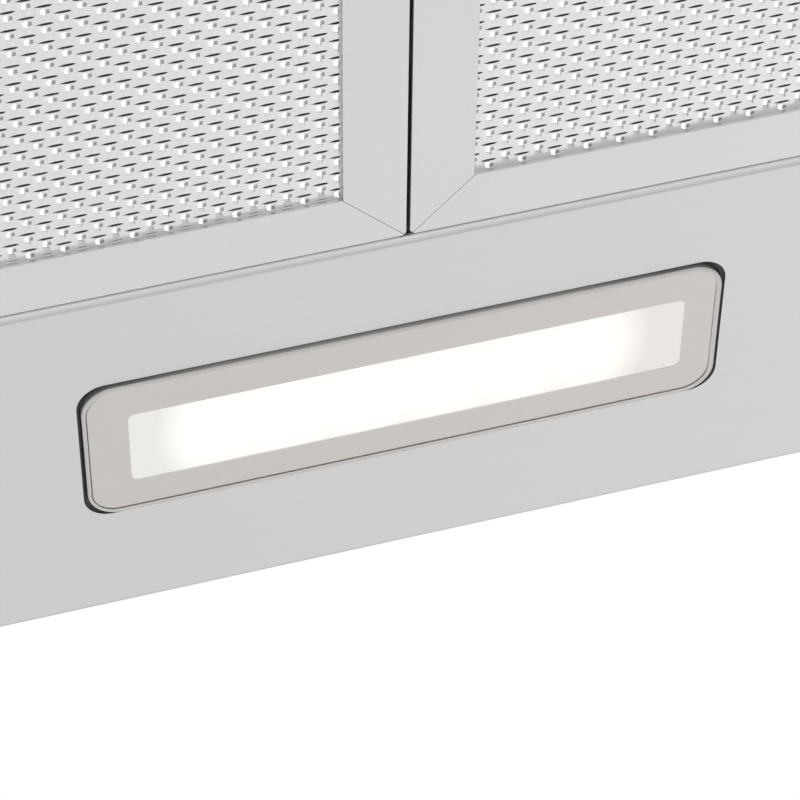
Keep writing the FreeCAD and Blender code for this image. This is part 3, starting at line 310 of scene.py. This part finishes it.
def shaded(tree, colour, shade):
    """A colour times a number that varies over the piece."""
    inputs = {0: colour, "Scale": shade}
    return add_node(tree, "ShaderNodeVectorMath", inputs, operation="SCALE")["Vector"]


def relief(tree, height, depth, strength):
    """Normal of a surface that rises and falls with a noise."""
    inputs = {"Height": height, "Distance": depth, "Strength": strength}
    return add_node(tree, "ShaderNodeBump", inputs)["Normal"]


def grey(level, warmth=0.0):
    """A grey, with more red and less blue the warmer it is."""
    return (level * (1 + warmth), level, level * (1 - warmth))


# Painted light and shade that vary over a piece, and the pattern of the lamp's glow
def tray_painted_shading(tree):
    """Painted light and shade of the tray: dark crease line and lighter band round the filter
    opening, lighter lip in the gap, darker upright walls, dark line at the wall edge.
    """
    low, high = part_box("filter_left_frame")[0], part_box("filter_right_frame")[1]
    middle = [(low[i] + high[i]) / 2 for i in (ACROSS, TO_WALL)]
    half = [(high[i] - low[i]) / 2 + FILTER_GAP for i in (ACROSS, TO_WALL)]
    away = math_node(tree, "SUBTRACT", outside(tree, middle, half), CREASE_AT)
    parts = parts_of(tree, own_place(tree))
    flat = (spread(tree, math_node(tree, "ABSOLUTE", away), CREASE_PAINTED_SHADE, 1.0, 0.0, CREASE_HALF),
            spread(tree, away, BAND_PAINTED_LIGHT, 1.0, *SHADE_EDGE),
            spread(tree, parts["Y"], 1.0, WALL_EDGE_PAINTED_SHADE, *WALL_EDGE))
    upright = spread(tree, away, LIP_PAINTED_LIGHT, SIDE_PAINTED_SHADE, *SHADE_EDGE)
    rise = spread(tree, parts["Z"], 0.0, 1.0, *UPRIGHT)
    change = math_node(tree, "MULTIPLY", rise, math_node(tree, "SUBTRACT", upright, 1.0))
    total = math_node(tree, "ADD", 1.0, change)
    for shade in flat:
        total = math_node(tree, "MULTIPLY", total, shade)
    return total


def hem_painted_shade(tree):
    """Painted shade on the wall of a filter frame's hem, darker towards the mesh, where the recess
    lies in shade.
    """
    return spread(tree, parts_of(tree, own_place(tree))["Z"], 1.0, HEM_PAINTED_SHADE, *HEM_WALL)


def spot_painted_shade(tree):
    """Painted shadow spot that the strands of the mesh carry with them, beside each scoop."""
    return add_node(tree, "ShaderNodeAttribute", {}, attribute_name="shade")["Fac"]


def lid_painted_shading(tree, inner_side):
    """Painted shade of the lid: dark in the gap, less so near its middle where a painted glow of
    the lamp lightens it, and pale on its inner side.
    """
    parts = parts_of(tree, own_place(tree))
    deep = spread(tree, parts["Z"], 1.0, 0.0, *LID_DEPTHS)
    leak = spread(tree, math_node(tree, "ABSOLUTE", parts["X"]), *GAP_PAINTED_SHADE, *GAP_LIT)
    within = math_node(tree, "MULTIPLY", inner_side, LID_WITHIN)
    return math_node(tree, "MAXIMUM", math_node(tree, "MAXIMUM", deep, leak), within)


def lid_cover(tree, facing, inner_side):
    """How much the lid hides: most at its rounded rim, and outside the clear part of its face."""
    level = math_node(tree, "ABSOLUTE", parts_of(tree, facing)["Z"])
    rim = spread(tree, level, RIM_COVER, 0.0, *RIM_FACING)
    away = outside_rounded(tree, CLEAR_MIDDLE, CLEAR_HALF, CLEAR_ROUND)
    face = spread(tree, away, CLEAR_COVER, RIM_COVER, *SHADE_EDGE)
    outer_side = math_node(tree, "SUBTRACT", 1.0, inner_side)
    return math_node(tree, "MAXIMUM", rim, math_node(tree, "MULTIPLY", face, outer_side))


def chip_distance(tree):
    """Distance on the opal sheet from the nearest chip, drawn out past the row's last chip."""
    parts = parts_of(tree, own_place(tree))
    along = math_node(tree, "ABSOLUTE", math_node(tree, "SUBTRACT", parts["X"], CHIP_MIDDLE[0]))
    half_pitch = CHIP_PITCH / 2
    between = math_node(tree, "SUBTRACT", along, half_pitch)
    nearest = math_node(tree, "PINGPONG", between, half_pitch)
    past = math_node(tree, "MULTIPLY", math_node(tree, "SUBTRACT", along, CHIP_LAST), END_FALL)
    across = math_node(tree, "SUBTRACT", parts["Y"], CHIP_MIDDLE[1])
    return length_of(tree, math_node(tree, "MAXIMUM", nearest, past), across)


# Materials
def start_material(name):
    """A new material with its tree and its shader."""
    material = bpy.data.materials.new(name)
    material.use_nodes = True
    tree = material.node_tree
    return material, tree, tree.nodes["Principled BSDF"]


def metal(tree, shader, colour, rough, normal, shade):
    """Gives a shader the look of a metal, with painted light and shade where a shade is given."""
    if shade:
        colour = shaded(tree, colour, shade(tree))
    join(tree, shader, {
        "Metallic": 1.0, "Base Color": colour, "Roughness": rough, "Normal": normal,
    })


def brushed_lines(tree, axis, side_axis):
    """Fine brushing along one axis, and along another on the faces that look down the first."""
    facing = parts_of(tree, own_place(tree, "Normal"))[axis]
    inputs = {"Factor": math_node(tree, "ABSOLUTE", facing)}
    for label, along in (("A", axis), ("B", side_axis)):
        scale = [LINE_BREAKS if i == along else LINE_COUNT for i in (ACROSS, TO_WALL, UP)]
        inputs[label] = object_noise(tree, scale)
    return add_node(tree, "ShaderNodeMix", inputs)["Result"]


def brushed_steel(name, level, axis, side_axis, warmth=0.0, shade=None):
    """Sheet with fine brushed lines in its tone and its surface."""
    material, tree, shader = start_material(name)
    lines = brushed_lines(tree, axis, side_axis)
    colour = tint(tree, lines, *[grey(level + change, warmth) for change in LINE_TONE])
    rough = spread(tree, even_noise(tree, BRUSHED_CLOUD), *BRUSHED_ROUGH)
    metal(tree, shader, colour, rough, relief(tree, lines, *LINE_RELIEF), shade)
    return material


def satin_metal(name, level, rough, shade=None):
    """Sheet or cast metal with a fine even grain."""
    material, tree, shader = start_material(name)
    specks = even_noise(tree, SPECK_COUNT, SPECK_DETAIL)
    cloud = even_noise(tree, SATIN_CLOUD)
    colour = tint(tree, specks, grey(level * SPECK_TONE), grey(level))
    rough = spread(tree, cloud, rough - SATIN_PLAY, rough + SATIN_PLAY)
    metal(tree, shader, colour, rough, relief(tree, specks, *SPECK_RELIEF), shade)
    return material


def galvanised(name):
    """Zinc coated sheet with its patchwork of crystals."""
    material, tree, shader = start_material(name)
    inputs = {"Vector": own_place(tree), "Scale": CRYSTAL_COUNT}
    cells = add_node(tree, "ShaderNodeTexVoronoi", inputs)
    crystal = add_node(tree, "ShaderNodeSeparateColor", {"Color": cells["Color"]})["Red"]
    dark, light = CRYSTAL_TONE
    join(tree, shader, {
        "Metallic": 1.0,
        "Base Color": tint(tree, crystal, grey(dark), grey(light), 0.0, 1.0),
        "Roughness": spread(tree, crystal, *CRYSTAL_ROUGH, 0.0, 1.0),
    })
    return material


def plastic(name, colour, rough=PLASTIC_ROUGH):
    """Moulded plastic or rubber with a fine grain."""
    material, tree, shader = start_material(name)
    grain = even_noise(tree, GRAIN_COUNT)
    dark = [PLASTIC_DARK * part for part in colour]
    join(tree, shader, {
        "Base Color": tint(tree, even_noise(tree, PLASTIC_CLOUD), dark, colour),
        "Roughness": spread(tree, grain, rough - PLASTIC_PLAY, rough + PLASTIC_PLAY),
        "Normal": relief(tree, grain, *GRAIN_RELIEF),
    })
    return material


def clear_acrylic(name):
    """Clear lid: its flat faces let light straight through, and its rounded rim is made opaque and
    painted pale, with painted shade down in the gap.
    """
    material, tree, shader = start_material(name)
    pale = tint(tree, even_noise(tree, LID_HAZE), *LID_PAINTED_TINTS)
    surface = add_node(tree, "ShaderNodeNewGeometry", {})
    inner_side = surface["Backfacing"]
    join(tree, shader, {
        "Base Color": shaded(tree, pale, lid_painted_shading(tree, inner_side)),
        "Roughness": LID_ROUGH,
        "IOR": LID_IOR,
        "Alpha": lid_cover(tree, surface["True Normal"], inner_side),
    })
    return material


def lamp_glow(name):
    """Opal sheet lit from behind: bright in its window, a little dimmer away from the chips."""
    material, tree, shader = start_material(name)
    x = parts_of(tree, own_place(tree))["X"]
    half = WINDOW_HALF[0]
    along = spread(tree, math_node(tree, "SUBTRACT", x, WINDOW_MIDDLE[0]), 0.0, 1.0, -half, half)
    fade = spread(tree, chip_distance(tree), *GLOW_LEVEL, *GLOW_REACH)
    window = spread(tree, outside(tree, WINDOW_MIDDLE, WINDOW_HALF), 1.0, 0.0, 0.0, WINDOW_EDGE)
    join(tree, shader, {
        "Base Color": OPAL_DARKENED,
        "Roughness": OPAL_ROUGH,
        "Emission Color": tint(tree, along, *GLOW_TINTS, 0.0, 1.0),
        "Emission Strength": math_node(tree, "MULTIPLY", fade, window),
    })
    return material


def floor_paint(name):
    """Matt pale paint, clear to a camera below the floor."""
    material, tree, shader = start_material(name)
    dark, light = FLOOR_TONE
    join(tree, shader, {
        "Base Color": tint(tree, even_noise(tree, FLOOR_CLOUD), grey(dark), grey(light)),
        "Roughness": FLOOR_ROUGH,
    })
    below = add_node(tree, "ShaderNodeNewGeometry", {})["Backfacing"]
    clear = add_node(tree, "ShaderNodeBsdfTransparent", {})["BSDF"]
    inputs = {"Fac": below, 1: shader.outputs["BSDF"], 2: clear}
    choice = add_node(tree, "ShaderNodeMixShader", inputs)["Shader"]
    join(tree, tree.nodes["Material Output"], {"Surface": choice})
    return material


# Making pieces
def made_piece(name, shape):
    """Turns a worked shape into an object of the scene."""
    mesh = bpy.data.meshes.new(name)
    shape.to_mesh(mesh)
    shape.free()
    piece = bpy.data.objects.new(name, mesh)
    scene.collection.objects.link(piece)
    return piece


def node_tree(name, inputs):
    """Geometry tree with named inputs, given as name to socket type."""
    tree = bpy.data.node_groups.new(name, "GeometryNodeTree")
    for label, kind in inputs.items():
        tree.interface.new_socket(label, in_out="INPUT", socket_type=kind)
    tree.interface.new_socket("Geometry", in_out="OUTPUT", socket_type="NodeSocketGeometry")
    return tree, tree.nodes.new("NodeGroupInput").outputs, tree.nodes.new("NodeGroupOutput")


def grown(name, tree, values):
    """Runs a tree with its inputs set and returns the result as a plain piece."""
    seed = bpy.data.objects.new(name + "_seed", bpy.data.meshes.new(name + "_seed"))
    scene.collection.objects.link(seed)
    modifier = seed.modifiers.new("grow", "NODES")
    modifier.node_group = tree
    for item in tree.interface.items_tree:
        if item.in_out == "INPUT" and item.name in values:
            modifier[item.identifier] = values[item.name]
    depsgraph = bpy.context.evaluated_depsgraph_get()
    mesh = bpy.data.meshes.new_from_object(seed.evaluated_get(depsgraph))
    mesh.name = name
    seed.modifiers.remove(modifier)
    bpy.data.objects.remove(seed)
    piece = bpy.data.objects.new(name, mesh)
    scene.collection.objects.link(piece)
    return piece


# Stage, light and camera
def seen_directly(tree):
    """One for rays from the camera and for mirror and glass rays, otherwise zero."""
    path = add_node(tree, "ShaderNodeLightPath", {})
    passed_on = math_node(tree, "MAXIMUM", path["Is Glossy Ray"], path["Is Transmission Ray"])
    return math_node(tree, "MAXIMUM", path["Is Camera Ray"], passed_on)


def white_world():
    """White room that looks a little brighter than the light it gives."""
    scene.world = bpy.data.worlds.new("studio")
    scene.world.use_nodes = True
    tree = scene.world.node_tree
    join(tree, tree.nodes["Background"], {
        "Color": (1, 1, 1, 1),
        "Strength": spread(tree, seen_directly(tree), *ROOM_LEVEL, 0.0, 1.0),
    })


def pale_floor():
    """Wide floor below the hood."""
    shape = bmesh.new()
    bmesh.ops.create_grid(shape, x_segments=1, y_segments=1, size=FLOOR_HALF)
    bmesh.ops.translate(shape, verts=shape.verts, vec=(0, 0, -FLOOR_DROP))
    floor = made_piece("floor", shape)
    floor.data.materials.append(floor_paint("pale_floor"))


def soft_light(name, place, target, size, power, beam=WIDE_BEAM):
    """Square area light aimed at a point, unseen by the camera."""
    data = bpy.data.lights.new(name, "AREA")
    data.shape = "SQUARE"
    data.size = size
    data.energy = power
    data.spread = beam
    light = bpy.data.objects.new(name, data)
    light.location = place
    aim = Vector(target) - Vector(place)
    light.rotation_euler = aim.to_track_quat("-Z", "Y").to_euler()
    light.visible_camera = False
    scene.collection.objects.link(light)


def studio_lights():
    """Key and fill on the hood, one on the floor behind it, and one from below on its underside."""
    soft_light("key_light", KEY_PLACE, HOOD_MIDDLE, size=2.4, power=3)
    soft_light("fill_light", FILL_PLACE, HOOD_MIDDLE, size=2.0, power=2)
    soft_light("sweep_light", (*SWEEP_PLACE, 0), (*SWEEP_PLACE, -FLOOR_DROP), size=1.2, power=8.5)
    soft_light("low_light", LOW_PLACE, UNDERSIDE_MIDDLE, size=1.0, power=0.75, beam=LOW_BEAM)


def photo_camera():
    """Camera that sees the hood as the photograph does."""
    data = bpy.data.cameras.new("camera")
    data.lens = CAMERA_LENS
    data.sensor_width = CAMERA_SENSOR
    data.clip_start = CAMERA_NEAR
    camera = bpy.data.objects.new("camera", data)
    back = CAMERA_RIGHT.cross(CAMERA_UP)
    turn = Matrix((CAMERA_RIGHT, CAMERA_UP, back)).transposed()
    camera.matrix_world = Matrix.Translation(CAMERA_PLACE) @ turn.to_4x4()
    scene.collection.objects.link(camera)
    scene.camera = camera


# Expanded mesh of the filters
def slit_gape(x):
    """Half the opening of a slit: it thins out towards its left end and is blunt at its right."""
    taper = SLIT_TAPER_LEFT if x < 0 else SLIT_TAPER_RIGHT
    return SLIT_OPEN * (1 - min(1.0, abs(x / SLIT_HALF)) ** taper)


def scoop_height(i, j, x, y):
    """How far the scoop stands out of the sheet: in at the slit, and out at its far corner."""
    if i not in SCOOP_COLUMNS or j not in SCOOP_ROWS:
        return 0.0
    return SCOOP_SLOPE[0] * (x - SCOOP_MIDDLE[0]) + SCOOP_SLOPE[1] * (y - SCOOP_MIDDLE[1])


def scoop_rounded(i, j, x, y):
    """Draws the four corners of the scoop in towards its middle."""
    if (i, j) not in SCOOP_CORNERS:
        return x, y
    return [value + SCOOP_ROUND * (middle - value) for value, middle in zip((x, y), SCOOP_MIDDLE)]


def strand_point(i, j, across, along, scooped):
    """One point of a strand's grid. The first and last row draw back from their slits."""
    x, y = across[i], along[j]
    if j == 0:
        y += slit_gape(x)
    elif j == len(along) - 1:
        y -= slit_gape(x)
    if not scooped:
        return Vector((x, y, 0))
    return Vector((*scoop_rounded(i, j, x, y), -scoop_height(i, j, x, y)))


def strand_cell(name, across, along, scooped):
    """One strand of the mesh from its slit to the next."""
    shape = bmesh.new()
    rows = [[shape.verts.new(strand_point(i, j, across, along, scooped) * MM)
             for i in range(len(across))] for j in range(len(along))]
    shade = shape.faces.layers.float.new("shade")
    for j, (near, far) in enumerate(zip(rows, rows[1:])):
        for i in range(len(across) - 1):
            face = shape.faces.new((near[i], far[i], far[i + 1], near[i + 1]))
            face.smooth = not (scooped and i in SCOOP_COLUMNS and j in SCOOP_ROWS)
            # The face beside the scoop is painted darker as the scoop's shadow.
            face[shade] = SHADOW_SPOT_TONE if scooped and (i, j) == SHADOW_SPOT else 1.0
    return made_piece(name, shape)


def staggered_points(tree, given):
    """Grid of points from a corner, with every second column half a row further on."""
    columns, rows, row_pitch = given["Columns"], given["Rows"], given["Row Pitch"]
    column_steps = math_node(tree, "SUBTRACT", columns, 1.0)
    row_steps = math_node(tree, "SUBTRACT", rows, 1.0)
    wide = math_node(tree, "MULTIPLY", column_steps, given["Column Pitch"])
    deep = math_node(tree, "MULTIPLY", row_steps, row_pitch)
    grid = add_node(tree, "GeometryNodeMeshGrid", {
        "Size X": wide, "Size Y": deep, "Vertices X": columns, "Vertices Y": rows,
    })
    index = add_node(tree, "GeometryNodeInputIndex", {})["Index"]
    column = math_node(tree, "FLOOR", math_node(tree, "DIVIDE", index, rows))
    half_odd = math_node(tree, "MULTIPLY", math_node(tree, "MODULO", column, 2.0), 0.5)
    stagger = math_node(tree, "MULTIPLY", half_odd, row_pitch)
    shift = add_node(tree, "ShaderNodeCombineXYZ", {
        "X": math_node(tree, "MULTIPLY", wide, 0.5),
        "Y": math_node(tree, "ADD", math_node(tree, "MULTIPLY", deep, 0.5), stagger),
    })
    offset = add_node(tree, "ShaderNodeVectorMath", {0: shift["Vector"], 1: given["Corner"]})
    return add_node(tree, "GeometryNodeSetPosition", {
        "Geometry": grid["Mesh"], "Offset": offset["Vector"],
    })["Geometry"]


def expanded_mesh_tree():
    """Staggered columns of one cell over a rectangle."""
    tree, given, result = node_tree("expanded_mesh", {
        "Cell": "NodeSocketObject", "Columns": "NodeSocketInt", "Rows": "NodeSocketInt",
        "Column Pitch": "NodeSocketFloat", "Row Pitch": "NodeSocketFloat",
        "Corner": "NodeSocketVector", "Turn": "NodeSocketRotation", "Finish": "NodeSocketMaterial",
    })
    points = staggered_points(tree, given)
    cell = add_node(tree, "GeometryNodeObjectInfo", {"Object": given["Cell"]})
    copies = add_node(tree, "GeometryNodeInstanceOnPoints", {
        "Points": points, "Instance": cell["Geometry"], "Rotation": given["Turn"],
    })
    real = add_node(tree, "GeometryNodeRealizeInstances", {"Geometry": copies["Instances"]})
    coated = add_node(tree, "GeometryNodeSetMaterial", {
        "Geometry": real["Geometry"], "Material": given["Finish"],
    })
    join(tree, result, {"Geometry": coated["Geometry"]})
    return tree


def within_frame(side, inset):
    """Edges in x and in y of a filter's frame, drawn in by an inset."""
    low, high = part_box(f"filter_{side}_frame")
    return low[0] + inset, high[0] - inset, low[1] + inset, high[1] - inset


def mesh_field(side):
    """Place of the first cell within a filter's frame, and how many columns and rows there are."""
    x0, x1, y0, y1 = within_frame(side, FRAME_FACE - MESH_TUCK)
    phase_x, phase_y = SLIT_PHASE[side]
    first = math.ceil((x0 - phase_x) / STRAND_PITCH)
    columns = math.floor((x1 - phase_x) / STRAND_PITCH) - first + 1
    start = phase_y + (SLIT_PITCH / 2 if first % 2 else 0.0)
    y = start + math.ceil((y0 - start) / SLIT_PITCH) * SLIT_PITCH
    rows = math.ceil((y1 - y) / SLIT_PITCH)
    return phase_x + first * STRAND_PITCH, y, columns, rows


def fine_mesh(tree, side, layer, cell, finish):
    """One expanded sheet of a filter, in place of the plain one. The back one is turned over."""
    node = f"filter_{side}_{layer}"
    x, y, columns, rows = mesh_field(side)
    bottom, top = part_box(node)
    corner, turn = (x, y, bottom[2] + MESH_BED), (0, 0, 0)
    if layer == "back_mesh":
        corner, turn = (x, y + SLIT_PITCH, top[2] - MESH_BED), (math.pi, 0, 0)
    piece = grown(node + "_fine", tree, {
        "Cell": cell, "Columns": columns, "Rows": rows, "Column Pitch": STRAND_PITCH,
        "Row Pitch": SLIT_PITCH, "Corner": corner, "Turn": turn, "Finish": finish,
    })
    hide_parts(node)
    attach(piece, "filter_" + side)


def mesh_margin(side, finish):
    """Plain margin of the front mesh, turned down to the hem of the frame."""
    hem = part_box(f"filter_{side}_frame")[0][2] + MARGIN_RISE
    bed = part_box(f"filter_{side}_front_mesh")[0][2] + MESH_BED + MARGIN_BEHIND
    shape = bmesh.new()
    rings = []
    for inset, z in ((MARGIN_START, hem), (MARGIN_START + MARGIN_WIDE, bed)):
        x0, x1, y0, y1 = within_frame(side, inset)
        corners = ((x0, y0), (x0, y1), (x1, y1), (x1, y0))
        rings.append([shape.verts.new((x, y, z)) for x, y in corners])
    outer, inner = rings
    for i in range(len(outer)):
        shape.faces.new((outer[i - 1], outer[i], inner[i], inner[i - 1]))
    piece = made_piece("mesh_margin_" + side, shape)
    piece.data.materials.append(finish)
    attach(piece, "filter_" + side)


def filter_meshes():
    """Front and back expanded mesh of each filter, and the margin of the front one."""
    finish = satin_metal("mesh_aluminium", *MESH_METAL, shade=spot_painted_shade)
    margin_finish = satin_metal("margin_aluminium", *MARGIN_SHADED_METAL)
    tree = expanded_mesh_tree()
    cells = {"front_mesh": strand_cell("scooped_cell", FINE_ACROSS, FINE_ALONG, True),
             "back_mesh": strand_cell("plain_cell", PLAIN_ACROSS, PLAIN_ALONG, False)}
    for side in SIDES:
        for layer, cell in cells.items():
            fine_mesh(tree, side, layer, cell, finish)
        mesh_margin(side, margin_finish)
    for cell in cells.values():
        bpy.data.objects.remove(cell)


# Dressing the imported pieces
def dress(material, *names):
    """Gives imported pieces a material."""
    for name in names:
        for slot in nodes[name].material_slots:
            slot.material = material


def dress_shell():
    """Sheets brushed across the hood, along its sides and up its chimney."""
    tray = brushed_steel("brushed_steel_tray", TRAY_LEVEL, ACROSS, TO_WALL, shade=tray_painted_shading)
    shell = brushed_steel("brushed_steel_shell", SHELL_LEVEL, ACROSS, TO_WALL)
    sides = brushed_steel("brushed_steel_sides", SHELL_LEVEL, TO_WALL, TO_WALL)
    chimney = brushed_steel("brushed_steel_chimney", SHELL_LEVEL, UP, UP)
    dress(tray, "base_tray")
    dress(shell, "canopy_front", "canopy_top", "back_panel")
    dress(sides, "canopy_left", "canopy_right")
    dress(chimney, "chimney_lower", "chimney_upper")


def dress_filters(screw_steel, black):
    """Frames, tongues, cores and latches of both filters."""
    frame_finish = satin_metal("satin_aluminium", *FRAME_METAL, shade=hem_painted_shade)
    dark_core = satin_metal("shaded_aluminium", *CORE_METAL)
    for side in SIDES:
        dress(frame_finish, f"filter_{side}_frame")
        dress(screw_steel, f"filter_{side}_tongues")
        dress(dark_core, f"filter_{side}_core")
        dress(black, f"filter_{side}_latch")


def dress_lamp(screw_steel, black):
    """The lamp from its lid to its housing."""
    mask = brushed_steel("lamp_mask_silver", MASK_LEVEL, ACROSS, TO_WALL, MASK_WARMTH)
    dress(clear_acrylic("clear_acrylic"), "lamp_cover")
    dress(mask, "lamp_mask")
    dress(lamp_glow("lamp_glow"), "lamp_diffuser", "leds")
    dress(plastic("white_board", BOARD_WHITE), "led_board")
    dress(black, "lamp_housing")
    dress(screw_steel, "lamp_screws")


def dress_controls(black):
    """Five push buttons in their bezel."""
    buttons = satin_metal("button_steel", *BUTTON_METAL)
    dress(buttons, *[f"button_{number}" for number in range(1, 6)])
    dress(black, "button_bezel", "switch_block")


def dress_blower(zinc, screw_steel, black):
    """Blower, motor and wiring boxes."""
    dress(zinc, "blower_housing", "impeller", "motor_bracket", "capacitor_strap")
    dress(satin_metal("motor_steel", *MOTOR_METAL), "motor")
    dress(satin_metal("can_aluminium", *CAPACITOR_METAL), "capacitor")
    dress(plastic("rubber", RUBBER_BLACK, RUBBER_ROUGH), "motor_grommets")
    dress(plastic("grey_plastic", MID_GREY), "junction_box", "junction_box_lid")
    dress(black, "inlet_rings", "cable_gland")
    dress(screw_steel, "motor_shaft", "motor_screws")


def dress_outlet(zinc, screw_steel):
    """Collar with its damper, the chimney's bracket, and the screws of the shell."""
    dress(zinc, "outlet_collar", "damper_flap_front", "damper_flap_back", "chimney_bracket")
    dress(screw_steel, "damper_axle", "collar_screws", "bracket_screws", "chimney_screws",
          "back_screws")


def dress_hood():
    """Every finish of the hood. Zinc, screw steel and black plastic are shared."""
    zinc = galvanised("zinc_sheet")
    screw_steel = satin_metal("screw_steel", *SCREW_METAL)
    black = plastic("black_plastic", BLACK)
    dress_shell()
    dress_filters(screw_steel, black)
    dress_lamp(screw_steel, black)
    dress_controls(black)
    dress_blower(zinc, screw_steel, black)
    dress_outlet(zinc, screw_steel)


white_world()
pale_floor()
studio_lights()
photo_camera()
dress_hood()
filter_meshes()
scene.view_settings.view_transform = "Standard"
